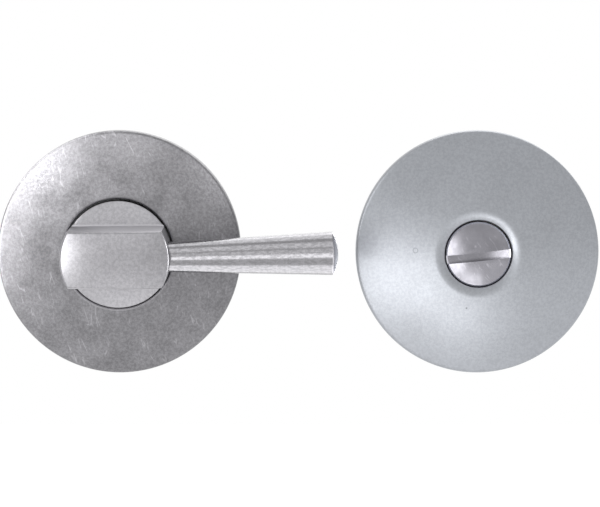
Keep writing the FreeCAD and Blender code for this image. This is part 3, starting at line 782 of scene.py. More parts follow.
def cross_tools(fixing, top, height):
    """Two crossed bars that cut a bolt's recess, tapered towards its floor."""
    made = []
    for turn in (0, math.pi / 2):
        bm = bmesh.new()
        bmesh.ops.create_cube(bm, size=1)
        for vert in bm.verts:
            deep = vert.co.z < 0
            share = CROSS_FLOOR if deep else CROSS_MOUTH
            vert.co.x *= fixing.cross_length * share
            vert.co.y *= fixing.cross_width * share
            vert.co.z = top - fixing.cross_depth if deep else top + fixing.cross_depth
        bmesh.ops.rotate(bm, cent=(0, 0, 0), matrix=Matrix.Rotation(turn, 3, "Z"), verts=bm.verts)
        bmesh.ops.transform(bm, matrix=STAND, verts=bm.verts)
        bmesh.ops.translate(bm, vec=(0, 0, height), verts=bm.verts)
        made.append(cutter(bm))
    return made


def sleeve_outline(fixing):
    """Outline of a threaded post, from the inside of its bore to its riveted head."""
    head, top = (SLEEVE_BOX[1].x - SLEEVE_BOX[0].x) / 2, -SLEEVE_BOX[0].y
    end, outside = -SLEEVE_BOX[1].y, fixing.sleeve_radius
    yield 0, -fixing.sleeve_floor - fixing.sleeve_bore / 2
    yield fixing.sleeve_bore, -fixing.sleeve_floor
    ridges = int((-end - fixing.sleeve_floor - 2 * fixing.sleeve_mouth) / fixing.pitch)
    crest = fixing.sleeve_bore + fixing.thread_depth / 2
    for ridge in range(ridges):
        height = -fixing.sleeve_floor - (ridge + 0.5) * fixing.pitch
        yield fixing.sleeve_bore, height + fixing.pitch / 3
        yield crest, height
        yield fixing.sleeve_bore, height - fixing.pitch / 3
    yield fixing.sleeve_bore, end + fixing.sleeve_mouth
    yield fixing.sleeve_bore + fixing.sleeve_mouth, end
    yield outside - fixing.sleeve_edge, end
    yield outside, end + fixing.sleeve_edge
    yield outside, 0
    yield fixing.sleeve_spigot, 0
    yield fixing.sleeve_spigot, top - head + fixing.sleeve_spigot
    yield head, top
    yield 0, top


def stud_mesh(fixing, knob):
    """The threaded stud between knob and lever, along z from the axis."""
    half = fixing.stud_length / 2
    low, high = knob.lever_seat - half, knob.lever_seat + half
    end = fixing.point * 0.8
    turns = int((high - low - 3 * end) / fixing.pitch)
    root = fixing.thread - fixing.thread_depth
    bm = threaded_rod(fixing, low + 1.5 * end, turns)
    close_rod(
        bm,
        [(root, low + end / 2), (root - end / 2, low)],
        [(root, high - end / 2), (root - end / 2, high)],
    )
    return bm


# Shader tools

class Nodes:
    """A node tree being filled."""

    def __init__(self, tree):
        self.tree = tree

    def add(self, kind, values=None, **settings):
        """Adds a node, with settings of its own and values for its sockets."""
        made = self.tree.nodes.new(kind)
        for name, value in settings.items():
            setattr(made, name, value)
        for name, value in (values or {}).items():
            if isinstance(value, bpy.types.NodeSocket):
                self.tree.links.new(value, made.inputs[name])
            else:
                made.inputs[name].default_value = value
        return made

    def maths(self, operation, *values):
        """A Math node's result."""
        made = self.add("ShaderNodeMath", dict(enumerate(values)), operation=operation)
        return made.outputs[0]

    def shares(self, first, first_share, second, second_share):
        """The sum of two values, each by its share."""
        first = self.maths("MULTIPLY", first, first_share)
        second = self.maths("MULTIPLY", second, second_share)
        return self.maths("ADD", first, second)

    def stretch(self, vector, factors):
        """A vector with each of its parts multiplied."""
        values = {0: vector, 1: factors}
        return self.add("ShaderNodeVectorMath", values, operation="MULTIPLY").outputs[0]

    def ramp(self, value, low, high, start=0.0, end=1.0, smooth=True):
        """Turns a value between two limits into another range, eased at both ends."""
        made = self.add(
            "ShaderNodeMapRange",
            {"Value": value, "From Min": low, "From Max": high, "To Min": start, "To Max": end},
            interpolation_type="SMOOTHSTEP" if smooth else "LINEAR",
        )
        return made.outputs["Result"]

    def blend(self, share, first, second):
        """A colour mixed of two by a share."""
        values = {0: share}
        for place, colour in ((6, first), (7, second)):
            linked = isinstance(colour, bpy.types.NodeSocket)
            values[place] = colour if linked else (*colour, 1)
        return self.add("ShaderNodeMix", values, data_type="RGBA").outputs[2]

    def noise(self, vector, scale, detail=2.0, roughness=0.5):
        """Soft noise between 0 and 1."""
        values = {"Vector": vector, "Scale": scale, "Detail": detail, "Roughness": roughness}
        return self.add("ShaderNodeTexNoise", values).outputs["Fac"]


def open_group(name, wanted, given):
    """Starts a node group with named sockets, and gives its nodes, inputs and output."""
    tree = bpy.data.node_groups.new(name, "ShaderNodeTree")
    for label, kind, default in wanted:
        socket = tree.interface.new_socket(name=label, in_out="INPUT", socket_type=kind)
        if default is not None:
            socket.default_value = default
    for label, kind in given:
        tree.interface.new_socket(name=label, in_out="OUTPUT", socket_type=kind)
    nodes = Nodes(tree)
    entry, leave = nodes.add("NodeGroupInput"), nodes.add("NodeGroupOutput")
    return nodes, entry.outputs, leave.inputs


FLOAT, VECTOR = "NodeSocketFloat", "NodeSocketVector"


def grain_group():
    """Fine metal grain: bright and dark flecks over slow cloudy patches."""
    nodes, entry, leave = open_group(
        "Metal grain",
        [("Vector", VECTOR, None), ("Fleck size", FLOAT, 0.4), ("Patch size", FLOAT, 9.0)],
        [("Fleck", FLOAT), ("Patch", FLOAT), ("Height", FLOAT)],
    )
    fine = nodes.maths("DIVIDE", 1 / MM, entry["Fleck size"])
    broad = nodes.maths("DIVIDE", 1 / MM, entry["Patch size"])
    fleck = nodes.noise(entry["Vector"], fine, 2.5, 0.62)
    finer = nodes.noise(entry["Vector"], nodes.maths("MULTIPLY", fine, 2.6), 1.0)
    patch = nodes.noise(entry["Vector"], broad, 3.0, 0.55)
    both = nodes.shares(fleck, 0.7, finer, 0.3)
    links = nodes.tree.links
    links.new(nodes.ramp(both, 0.36, 0.64), leave["Fleck"])
    links.new(nodes.ramp(patch, 0.3, 0.7), leave["Patch"])
    links.new(both, leave["Height"])
    return nodes.tree


def scratch_group():
    """Short scratches that lie along one way, thin lines broken into strokes."""
    nodes, entry, leave = open_group(
        "Scratches",
        [
            ("Vector", VECTOR, None),
            ("Turn", FLOAT, 0.0),
            ("Spacing", FLOAT, 2.0),
            ("Length", FLOAT, 5.0),
            ("Amount", FLOAT, 0.5),
        ],
        [("Mask", FLOAT)],
    )
    turned = nodes.add(
        "ShaderNodeVectorRotate",
        {"Vector": entry["Vector"], "Angle": entry["Turn"]},
        rotation_type="Y_AXIS",
    ).outputs[0]
    across = nodes.maths("DIVIDE", 1 / MM, entry["Spacing"])
    along = nodes.maths("DIVIDE", 1 / MM, entry["Length"])
    stretch = nodes.add("ShaderNodeCombineXYZ", {"X": across, "Y": along, "Z": along}).outputs[0]
    drawn = nodes.stretch(turned, stretch)
    cells = nodes.add(
        "ShaderNodeTexVoronoi",
        {"Vector": drawn, "Scale": 1.0, "Randomness": 1.0},
        feature="DISTANCE_TO_EDGE",
    ).outputs["Distance"]
    line = nodes.ramp(cells, 0.0, 0.07, 1.0, 0.0)
    strokes = nodes.noise(drawn, 1.3, 2.0)
    limit = nodes.maths("SUBTRACT", 0.78, nodes.maths("MULTIPLY", entry["Amount"], 0.4))
    chosen = nodes.ramp(nodes.maths("SUBTRACT", strokes, limit), 0.0, 0.06)
    nodes.tree.links.new(nodes.maths("MULTIPLY", line, chosen), leave["Mask"])
    return nodes.tree


def turning_group():
    """Marks of a lathe tool: faint rings of uneven depth under a broken sparkle."""
    nodes, entry, leave = open_group(
        "Turning marks",
        [("Along", FLOAT, 0.0), ("Vector", VECTOR, None), ("Pitch", FLOAT, 0.3)],
        [("Height", FLOAT), ("Sparkle", FLOAT)],
    )
    rate = nodes.maths("DIVIDE", 1 / MM, entry["Pitch"])
    place = nodes.maths("MULTIPLY", entry["Along"], rate)
    rings = nodes.add(
        "ShaderNodeTexNoise", {"W": place, "Scale": 1.0, "Detail": 3.0}, noise_dimensions="1D"
    ).outputs["Fac"]
    broken = nodes.noise(entry["Vector"], nodes.maths("MULTIPLY", rate, 0.6), 3.0, 0.6)
    height = nodes.maths("ADD", nodes.maths("MULTIPLY", rings, 0.02), broken)
    nodes.tree.links.new(height, leave["Height"])
    both = nodes.shares(rings, 0.12, broken, 0.88)
    nodes.tree.links.new(nodes.ramp(both, 0.38, 0.62), leave["Sparkle"])
    return nodes.tree


GROUPS = {}


def use_group(nodes, make, **values):
    """Places a shared group in a material, sets its sockets and gives its outputs."""
    if make not in GROUPS:
        GROUPS[make] = make()
    named = {name.replace("_", " "): value for name, value in values.items()}
    return nodes.add("ShaderNodeGroup", named, node_tree=GROUPS[make]).outputs


def grain_of(nodes, where, fleck, patch):
    """The grain's outputs, with its sizes in mm."""
    return use_group(nodes, grain_group, Vector=where, Fleck_size=fleck, Patch_size=patch)


def scratches_of(nodes, where, turn, spacing, length, amount):
    """A mask of scratches, with their spacing and length in mm."""
    return use_group(
        nodes,
        scratch_group,
        Vector=where,
        Turn=turn,
        Spacing=spacing,
        Length=length,
        Amount=amount,
    )["Mask"]


def start_material(name, metallic=1.0):
    """A material with its shader, its nodes and the object's own coordinates."""
    material = bpy.data.materials.new(name)
    material.use_nodes = True
    nodes = Nodes(material.node_tree)
    shader = material.node_tree.nodes["Principled BSDF"]
    shader.inputs["Metallic"].default_value = metallic
    where = nodes.add("ShaderNodeTexCoord").outputs["Object"]
    return material, nodes, shader, where


def off_axis(nodes, where, across, up=0.0):
    """The distance from a line that looks forward from a place on the door face."""
    values = {0: nodes.stretch(where, (1, 0, 1)), 1: (across, 0, up)}
    return nodes.add("ShaderNodeVectorMath", values, operation="DISTANCE").outputs["Value"]


def bump(nodes, shader, height, depth, strength):
    """Feeds a height into the shader's normal, with its depth in mm."""
    values = {"Height": height, "Strength": strength, "Distance": depth * MM}
    made = nodes.add("ShaderNodeBump", values).outputs["Normal"]
    nodes.tree.links.new(made, shader.inputs["Normal"])


def gloss(nodes, shader, share, low, high):
    """Sets the shader's roughness between two values."""
    nodes.tree.links.new(nodes.ramp(share, 0, 1, low, high), shader.inputs["Roughness"])


# Brightness of scratches and painted highlights, and of painted shade, against the metal's own

PALE, PAINTED_SHADE_SHARE = 2.4, 0.35


def metal_colour(
    nodes, shader, base, light_share, dark_share, fleck, scratch_and_highlight=None, painted_shade=None, pale_share=PALE
):
    """Colours a bare metal: darker and lighter flecks, pale scratches and painted highlights, and
    painted shade.
    """
    dark = tuple(channel * dark_share for channel in base)
    light = tuple(min(1, channel * light_share) for channel in base)
    mixed = nodes.blend(fleck, dark, light)
    # Pale scratches and painted highlights
    if scratch_and_highlight is not None:
        pale = tuple(min(1, channel * pale_share) for channel in base)
        mixed = nodes.blend(scratch_and_highlight, mixed, pale)
    # Painted shade: a darker copy of the metal
    if painted_shade is not None:
        mixed = nodes.blend(painted_shade, mixed, tuple(channel * PAINTED_SHADE_SHARE for channel in base))
    nodes.tree.links.new(mixed, shader.inputs["Base Color"])


# Finishes

# The painted highlight on the lip round the turn's hole: where it is full and where it ends, and
# its share
TURN_LIP, TURN_LIP_ENDS, TURN_LIP_HIGHLIGHT_SHARE = 11.95 * MM, 12.2 * MM, 0.4

# The milled walls, painted lighter as a painted highlight: their place off the middle, how far
# behind the face they start, their roughness
WALL_FROM, WALL_FULL, WALL_FADES, WALL_ENDS = 5.85 * MM, 6.0 * MM, 6.1 * MM, 6.5 * MM
WALL_BEHIND, WALL_ROUGHNESS = (0.5 * MM, 1.0 * MM), 0.65

# The lever's sparkle is drawn out along its axis, and its end gets a painted highlight
SPARKLE_STRETCH, LEVER_END, LEVER_END_HIGHLIGHT = (0.7, 1.6, 1.6), (1.25 * MM, 1.05 * MM), 3.2

# The slot's painted shade starts behind the head's face, and the head's chamfer gets a painted
# highlight
SLOT_SHADE_DEPTH, HEAD_EDGE, HEAD_CHAMFER_HIGHLIGHT = (1.0 * MM, 1.5 * MM), (6.52 * MM, 6.62 * MM), 0.9

# Lowest and highest roughness of the plain metals, and the size of their flecks in mm
PLAIN_METALS = {
    "bright_steel": (0.2, 0.3, 0.5),
    "zinc_plate": (0.32, 0.45, 0.6),
    "spring_steel": (0.35, 0.5, 0.5),
    "drawn_steel": (0.25, 0.38, 0.7),
    "black_oxide": (0.4, 0.55, 0.5),
}


def turn_satin(finishes):
    """The turn's rose: rubbed satin aluminium, mottled, with short upright scratches and a painted
    highlight on the lip round its hole.
    """
    material, nodes, shader, where = start_material("turn_satin")
    grain = grain_of(nodes, where, 0.6, 6.5)
    upright = scratches_of(nodes, where, turn=0.25, spacing=1.2, length=6.0, amount=0.6)
    worn = nodes.ramp(grain["Patch"], 0.35, 0.65, 0.0, 0.36)
    scratches = nodes.maths("MULTIPLY", upright, worn)
    out = off_axis(nodes, where, TURN_X)
    # Painted highlight: a pale ring on the lip round the hole
    lip = nodes.ramp(out, TURN_LIP, TURN_LIP_ENDS, TURN_LIP_HIGHLIGHT_SHARE, 0.0)
    mottled = nodes.shares(grain["Fleck"], 0.6, grain["Patch"], 0.4)
    pale = nodes.maths("MAXIMUM", scratches, lip)
    metal_colour(nodes, shader, finishes.turn_satin, 1.26, 0.72, mottled, pale)
    rough = nodes.ramp(grain["Patch"], 0, 1, 0.37, 0.45)
    rough = nodes.maths("SUBTRACT", rough, nodes.maths("MULTIPLY", scratches, 0.12))
    nodes.tree.links.new(rough, shader.inputs["Roughness"])
    bump(nodes, shader, grain["Height"], 0.06, 0.6)
    return material


def knob_satin(finishes):
    """The knob: the same metal painted lighter, a lit copy, finely mottled, with a few faint
    scratches across the bar and a painted highlight on its milled walls.
    """
    material, nodes, shader, where = start_material("knob_satin")
    grain = grain_of(nodes, where, 0.7, 5.0)
    slanted = scratches_of(nodes, where, turn=1.0, spacing=1.6, length=6.0, amount=0.35)
    faint = nodes.maths("MULTIPLY", slanted, 0.2)
    place = nodes.add("ShaderNodeSeparateXYZ", {"Vector": where}).outputs
    aside = nodes.maths("ABSOLUTE", place["Z"])
    milled = nodes.ramp(aside, WALL_FROM, WALL_FULL)
    behind = nodes.ramp(place["Y"], *(deep - KNOB_BOX_FRONT for deep in WALL_BEHIND))
    ends = nodes.ramp(aside, WALL_FADES, WALL_ENDS, 1.0, 0.0)
    wall = nodes.maths("MULTIPLY", nodes.maths("MULTIPLY", milled, behind), ends)
    # Painted highlight on the milled walls; the knob's whole colour is also a lighter, lit copy of
    # the rose's metal
    pale = nodes.maths("MAXIMUM", faint, wall)
    metal_colour(nodes, shader, finishes.turn_satin, 1.62, 1.3, grain["Fleck"], pale)
    turned = nodes.ramp(grain["Patch"], 0, 1, 0.29, 0.33)
    rough = nodes.maths("MAXIMUM", turned, nodes.maths("MULTIPLY", wall, WALL_ROUGHNESS))
    nodes.tree.links.new(rough, shader.inputs["Roughness"])
    bump(nodes, shader, grain["Height"], 0.03, 0.3)
    return material


def lever_satin(finishes):
    """The lever: turned bright, with faint rings, a broken sparkle and a painted highlight at its
    end.
    """
    material, nodes, shader, where = start_material("lever_satin")
    along = nodes.add("ShaderNodeSeparateXYZ", {"Vector": where}).outputs["X"]
    drawn = nodes.stretch(where, SPARKLE_STRETCH)
    marks = use_group(nodes, turning_group, Along=along, Vector=drawn, Pitch=0.4)
    sparkle = marks["Sparkle"]
    # Painted highlight: the lever's end is painted pale
    end = nodes.ramp(along, *(LEVER_BOX[1].x - short for short in LEVER_END))
    colour = finishes.turn_satin
    metal_colour(nodes, shader, colour, 1.26, 0.97, sparkle, scratch_and_highlight=end, pale_share=LEVER_END_HIGHLIGHT)
    gloss(nodes, shader, sparkle, 0.25, 0.17)
    bump(nodes, shader, marks["Height"], 0.02, 0.4)
    return material


# Painted shade of small dents in the release's rose: place from its axis, radius and width of the
# line in mm, and how dark
DENT_SHADES = ((-13.4, 0.8, 0.5, 0.16, 0.5), (-2.5, -11.5, 0.0, 0.32, 1.0))


def release_satin(finishes):
    """The release's rose: finer, bluish blasted aluminium, with the painted shade of two small
    dents.
    """
    material, nodes, shader, where = start_material("release_satin")
    grain = grain_of(nodes, where, 0.6, 9.0)
    mottled = nodes.shares(grain["Fleck"], 0.75, grain["Patch"], 0.25)
    # Painted shade: dark rings and dots where small dents are
    marks = 0.0
    for across, up, radius, width, dark in DENT_SHADES:
        away = off_axis(nodes, where, RELEASE_X + across * MM, up * MM)
        off = nodes.maths("ABSOLUTE", nodes.maths("SUBTRACT", away, radius * MM))
        mark = nodes.ramp(off, 0.0, width * MM, dark, 0.0)
        marks = nodes.maths("MAXIMUM", marks, mark)
    metal_colour(nodes, shader, finishes.release_satin, 1.08, 0.9, mottled, painted_shade=marks)
    gloss(nodes, shader, grain["Patch"], 0.38, 0.43)
    bump(nodes, shader, grain["Height"], 0.04, 0.4)
    return material


def polished(finishes):
    """The coin head: polished, with faint wear, painted shade in its slot and a painted highlight
    on its chamfer.
    """
    material, nodes, shader, where = start_material("polished_head")
    grain = grain_of(nodes, where, 0.9, 2.5)
    place = nodes.add("ShaderNodeSeparateXYZ", {"Vector": where}).outputs
    out = off_axis(nodes, where, RELEASE_X)
    # Painted shade: darker inside the slot, in patches
    deep = nodes.ramp(place["Y"], *(deep - HEAD_BOX_FRONT for deep in SLOT_SHADE_DEPTH))
    shade_patches = nodes.ramp(grain["Patch"], 0.2, 0.8, 0.1, 0.6)
    # Painted highlight: a pale ring on the chamfer, with faint real scratches added
    rubbed = nodes.ramp(out, *HEAD_EDGE, 0.0, HEAD_CHAMFER_HIGHLIGHT)
    fine = scratches_of(nodes, where, turn=0.5, spacing=0.8, length=4.0, amount=0.5)
    rubbed = nodes.maths("MAXIMUM", rubbed, nodes.maths("MULTIPLY", fine, 0.3))
    painted_shade = nodes.maths("MULTIPLY", deep, shade_patches)
    metal_colour(nodes, shader, finishes.polished, 1.06, 0.9, grain["Patch"], rubbed, painted_shade)
    gloss(nodes, shader, grain["Fleck"], 0.19, 0.26)
    bump(nodes, shader, grain["Height"], 0.02, 0.3)
    return material


def plain_metal(name, colour):
    """A plated or blackened metal with grain in its colour and its gloss."""
    low, high, fleck = PLAIN_METALS[name]
    material, nodes, shader, where = start_material(name)
    grain = grain_of(nodes, where, fleck, 5.0)
    metal_colour(nodes, shader, colour, 1.04, 0.92, grain["Patch"])
    gloss(nodes, shader, grain["Fleck"], low, high)
    bump(nodes, shader, grain["Height"], 0.03, 0.12)
    return material


def nylon(finishes):
    """The bushes' natural nylon."""
    material, nodes, shader, where = start_material("bearing_nylon", metallic=0.0)
    grain = grain_of(nodes, where, 0.7, 4.0)
    metal_colour(nodes, shader, finishes.nylon, 1.05, 0.93, grain["Patch"])
    gloss(nodes, shader, grain["Fleck"], 0.42, 0.55)
    shader.inputs["Subsurface Weight"].default_value = 0.1
    shader.inputs["Subsurface Scale"].default_value = 0.5 * MM
    bump(nodes, shader, grain["Height"], 0.02, 0.2)
    return material


# Stage

IMAGE_WIDTH = 600
SENSOR_WIDTH = 36.0
CLIP_NEAR, CLIP_FAR = 0.01, 20
FLOOR_REACH, FLOOR_GREY, FLOOR_GLOW = 6, 0.8, 0.85
LAMP_REACH = 0.9
WHITE = (1, 1, 1, 1)


def place_camera(studio):
    """Puts the camera at the photo's angle, far off, with a lens to match."""
    data = bpy.data.cameras.new("camera")
    camera = bpy.data.objects.new("camera", data)
    bpy.context.scene.collection.objects.link(camera)
    data.sensor_width = SENSOR_WIDTH
    pixels_across = studio.pixels_per_metre * studio.distance
    data.lens = pixels_across * SENSOR_WIDTH / IMAGE_WIDTH
    data.clip_start, data.clip_end = CLIP_NEAR, CLIP_FAR
    back = Vector((0, -math.cos(studio.elevation), math.sin(studio.elevation)))
    camera.location = Vector(studio.target) + back * studio.distance
    camera.rotation_mode = "QUATERNION"
    camera.rotation_quaternion = (-back).to_track_quat("-Z", "Y")
    bpy.context.scene.camera = camera


def white_seen(nodes):
    """1 for the rays that show the white background: the camera's, and those off metal or glass."""
    ray = nodes.add("ShaderNodeLightPath").outputs
    seen = nodes.maths("MAXIMUM", ray["Is Camera Ray"], ray["Is Glossy Ray"])
    return nodes.maths("MAXIMUM", seen, ray["Is Transmission Ray"])


def floor_material():
    """A pale floor that is seen as white and keeps the object's shadow."""
    material = bpy.data.materials.new("floor_white")
    material.use_nodes = True
    nodes = Nodes(material.node_tree)
    material.node_tree.nodes.clear()
    grey = (FLOOR_GREY, FLOOR_GREY, FLOOR_GREY, 1)
    plain = nodes.add("ShaderNodeBsdfDiffuse", {"Color": grey})
    glow = nodes.add("ShaderNodeEmission", {"Color": WHITE, "Strength": FLOOR_GLOW})
    both = nodes.add("ShaderNodeAddShader", {0: plain.outputs[0], 1: glow.outputs[0]})
    mixed = nodes.add(
        "ShaderNodeMixShader", {0: white_seen(nodes), 1: plain.outputs[0], 2: both.outputs[0]}
    )
    nodes.add("ShaderNodeOutputMaterial", {"Surface": mixed.outputs[0]})
    return material


def make_floor(studio):
    """Lays the floor under the object."""
    bm = bmesh.new()
    bmesh.ops.create_grid(bm, x_segments=1, y_segments=1, size=FLOOR_REACH)
    bmesh.ops.translate(bm, vec=(0, 0, -studio.floor_drop), verts=bm.verts)
    floor = mesh_object(bm, "floor")
    floor.data.materials.append(floor_material())


# Each soft lamp: the pieces that it lights, its azimuth from the front and its elevation in
# degrees, its width and height in metres, and its power in watts
LAMPS = {
    "turn_key": ("turn", -49, 32, 0.25, 0.25, 4.4),
    "turn_top": ("turn", 0, 44, 0.25, 0.25, 0.9),
    "turn_side": ("turn", -75, 0, 0.5, 0.5, 7.0),
    "turn_rim": ("turn", -112, 42, 0.8, 0.8, 8.0),
    "turn_left": ("turn", -60, 14, 0.25, 0.25, 1.6),
    "turn_right": ("turn", 40, 28, 0.25, 0.25, 0.8),
    "knob_left": ("knob", -48, 0, 0.25, 0.25, 4.6),
    "knob_middle": ("knob", -32, 0, 0.25, 0.25, 0.3),
    "knob_front": ("knob", 0, 16, 0.5, 0.5, 0.5),
    "knob_low": ("knob", 0, -32, 0.5, 0.5, 0.45),
    "knob_right": ("knob", 95, 0, 0.5, 0.5, 6.0),
    "knob_top": ("knob", 0, 88, 0.5, 0.5, 0.6),
    "knob_under": ("knob", 0, -84, 0.5, 0.5, 0.3),
    "lever_top": ("lever", -5, 115, 0.5, 0.8, 1.7),
    "lever_high": ("lever", -5, 54, 0.5, 0.5, 0.85),
    "lever_front": ("lever", -5, 20, 0.5, 0.3, 0.4),
    "lever_line": ("lever", -5, -5, 0.5, 0.36, 1.35),
    "lever_under": ("lever", -5, -94, 0.5, 1.2, 3.2),
    "lever_end": ("lever", 150, 0, 0.5, 0.5, 5.0),
    "lever_back": ("lever", -132, 0, 0.6, 0.6, 7.0),
    "release_left": ("release", -36, -15, 0.25, 0.25, 1.3),
    "release_middle": ("release", -16, -16, 0.25, 0.25, 0.85),
    "release_low": ("release", 0, -32, 0.25, 0.25, 0.54),
    "release_side": ("release", -75, 20, 0.5, 0.5, 1.5),
    "head_high": ("head", -21, 1, 0.25, 0.25, 0.8),
    "head_middle": ("head", -16, -16, 0.25, 0.25, 0.65),
    "head_low": ("head", 0, -32, 0.25, 0.25, 0.5),
    "head_right": ("head", 90, -15, 0.5, 0.5, 4.0),
    "head_under": ("head", 0, -88, 0.5, 0.5, 3.0),
    "back_soft": (None, 160, 35, 0.8, 0.8, 2.4),
}

# The piece that each group of lamps lights; the others have the even light and the lamp behind
LIT_PIECES = {
    "turn": "turn_rose_shell",
    "release": "release_rose_shell",
    "knob": "knob_and_stem",
    "lever": "tapered_lever",
    "head": "coin_head",
}


def lit_pieces():
    """A collection for each piece that has lamps of its own."""
    made = {}
    for key, name in LIT_PIECES.items():
        made[key] = bpy.data.collections.new(f"lit_{key}")
        made[key].objects.link(bpy.data.objects[name])
    return made


def soft_lamp(name, pieces, blockers, azimuth, elevation, width, height, watts):
    """A soft rectangular lamp that faces the object and may light some pieces alone."""
    data = bpy.data.lights.new(name, "AREA")
    data.shape = "RECTANGLE"
    data.size, data.size_y = width, height
    data.energy = watts
    lamp = bpy.data.objects.new(name, data)
    bpy.context.scene.collection.objects.link(lamp)
    turn, rise = math.radians(azimuth), math.radians(elevation)
    towards = Vector(
        (math.sin(turn) * math.cos(rise), -math.cos(turn) * math.cos(rise), math.sin(rise))
    )
    middle = Vector(((TURN_X + RELEASE_X) / 2, 0, 0))
    lamp.location = middle + towards * LAMP_REACH
    lamp.rotation_mode = "QUATERNION"
    lamp.rotation_quaternion = towards.to_track_quat("Z", "Y")
    if pieces is not None:
        lamp.light_linking.receiver_collection = pieces
    if blockers is not None:
        lamp.light_linking.blocker_collection = blockers


def set_lamps():
    """Sets the soft lamps. Those of the release aren't shaded by the turn's lever."""
    lit = lit_pieces()
    for name, (key, *rest) in LAMPS.items():
        blockers = lit["release"] if key in ("release", "head") else None
        soft_lamp(name, lit.get(key), blockers, *rest)


def light_world(studio):
    """Even light round the object, white where the camera and the metal see the background."""
    world = bpy.data.worlds.new("studio")
    bpy.context.scene.world = world
    world.use_nodes = True
    nodes = Nodes(world.node_tree)
    world.node_tree.nodes.clear()
    grey = nodes.add("ShaderNodeBackground", {"Color": WHITE, "Strength": studio.ambient})
    white = nodes.add("ShaderNodeBackground", {"Color": WHITE, "Strength": 1.0})
    mixed = nodes.add(
        "ShaderNodeMixShader", {0: white_seen(nodes), 1: grey.outputs[0], 2: white.outputs[0]}
    )
    nodes.add("ShaderNodeOutputWorld", {"Surface": mixed.outputs[0]})


# Operators

def settings():
    """The sizes and colours that the panel lists."""
    return bpy.context.scene.lock_settings


class LockSettings(bpy.types.PropertyGroup):
    """Everything that the panel lists."""

    rose: PointerProperty(type=RoseSizes)
    stem: PointerProperty(type=StemSizes)
    knob: PointerProperty(type=KnobSizes)
    lever: PointerProperty(type=LeverSizes)
    head: PointerProperty(type=HeadSizes)
    fixing: PointerProperty(type=FixingSizes)
    finish: PointerProperty(type=Finishes)
    studio: PointerProperty(type=StudioSettings)


class LOCK_OT_roses(bpy.types.Operator):
    """Models the two domed roses."""

    bl_idname = "lock.roses"
    bl_label = "Roses"

    def execute(self, context):
        rose, finish = settings().rose, settings().finish
        turn = lathe(turn_rose_outline(rose), TURN_X, rose.steps, closed=True)
        raise_hole(turn, TURN_X, rose.turn_hole, rose.turn_rise, rose.rise_reach)
        shell = mesh_object(turn, "turn_rose_shell")
        fit(shell, "door_fixed", ["turn_rose"], turn_satin(finish))
        release = lathe(release_rose_outline(rose), RELEASE_X, rose.steps, closed=True)
        raise_hole(release, RELEASE_X, rose.release_hole, rose.release_rise, rose.rise_reach)
        shell = mesh_object(release, "release_rose_shell")
        fit(shell, "door_fixed", ["release_rose"], release_satin(finish))
        return {"FINISHED"}


class LOCK_OT_knob(bpy.types.Operator):
    """Models the knob with its bar, stem and holes."""

    bl_idname = "lock.knob"
    bl_label = "Knob"

    def execute(self, context):
        sizes = settings()
        piece = mesh_object(knob_mesh(sizes.knob, sizes.stem), "knob_and_stem")
        cut(piece, knob_tools(sizes.knob, sizes.stem, sizes.lever))
        pitch_piece(piece, sizes.lever.angle, TURN_X)
        fit(piece, "turn", ["thumb_turn"], knob_satin(sizes.finish))
        return {"FINISHED"}


class LOCK_OT_lever(bpy.types.Operator):
    """Models the tapered lever."""

    bl_idname = "lock.lever"
    bl_label = "Lever"

    def execute(self, context):
        sizes = settings()
        bm = lever_mesh(sizes.lever, sizes.knob)
        tilted(bm, sizes.knob, sizes.lever)
        pitched(bm, sizes.lever.angle, TURN_X)
        piece = mesh_object(bm, "tapered_lever")
        fit(piece, "turn", ["turn_lever"], lever_satin(sizes.finish))
        return {"FINISHED"}


class LOCK_OT_coin_head(bpy.types.Operator):
    """Models the coin head with its slot, stem and socket."""

    bl_idname = "lock.coin_head"
    bl_label = "Coin head"

    def execute(self, context):
        sizes = settings()
        edge = head_front(sizes.rose, sizes.head)
        bm = lathe(head_outline(sizes.head, sizes.stem, edge), RELEASE_X, HEAD_STEPS)
        piece = mesh_object(bm, "coin_head")
        cut(piece, [slot_tool(sizes.head, edge), socket_tool(sizes.stem, RELEASE_X)])
        pitch_piece(piece, sizes.head.angle, RELEASE_X)
        fit(piece, "release", ["release_head"], polished(sizes.finish))
        return {"FINISHED"}


class LOCK_OT_fixings(bpy.types.Operator):
    """Models the bolts, the sleeves and the lever's stud, with their threads."""

    bl_idname = "lock.fixings"
    bl_label = "Fixings"

    def execute(self, context):
        sizes = settings()
        fixing = sizes.fixing
        bright = plain_metal("bright_steel", sizes.finish.bright)
        top = -BOLT_BOX[0].y
        for side in ("upper", "lower"):
            low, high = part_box(f"{side}_fixing_bolt")
            height = (low.z + high.z) / 2
            bm = bolt_mesh(fixing)
            bmesh.ops.transform(bm, matrix=STAND, verts=bm.verts)
            bmesh.ops.translate(bm, vec=(0, 0, height), verts=bm.verts)
            bolt = mesh_object(bm, f"{side}_threaded_bolt")
            cut(bolt, cross_tools(fixing, top, height))
            fit(bolt, "door_fixed", [f"{side}_fixing_bolt"], bright)
            bm = lathe(sleeve_outline(fixing), RELEASE_X, SLEEVE_STEPS)
            bmesh.ops.translate(bm, vec=(0, 0, height), verts=bm.verts)
            sleeve = mesh_object(bm, f"{side}_threaded_sleeve")
            fit(sleeve, "door_fixed", [f"{side}_fixing_sleeve"], bright)
        bm = stud_mesh(fixing, sizes.knob)
        along = Matrix.Rotation(math.radians(90), 3, "Y")
        bmesh.ops.rotate(bm, cent=(0, 0, 0), matrix=along, verts=bm.verts)
        bmesh.ops.translate(bm, vec=(0, -lever_height(), 0), verts=bm.verts)
        tilted(bm, sizes.knob, sizes.lever)
        pitched(bm, sizes.lever.angle, TURN_X)
        stud = mesh_object(bm, "threaded_stud")
        fit(stud, "turn", ["lever_stud"], bright)
        return {"FINISHED"}


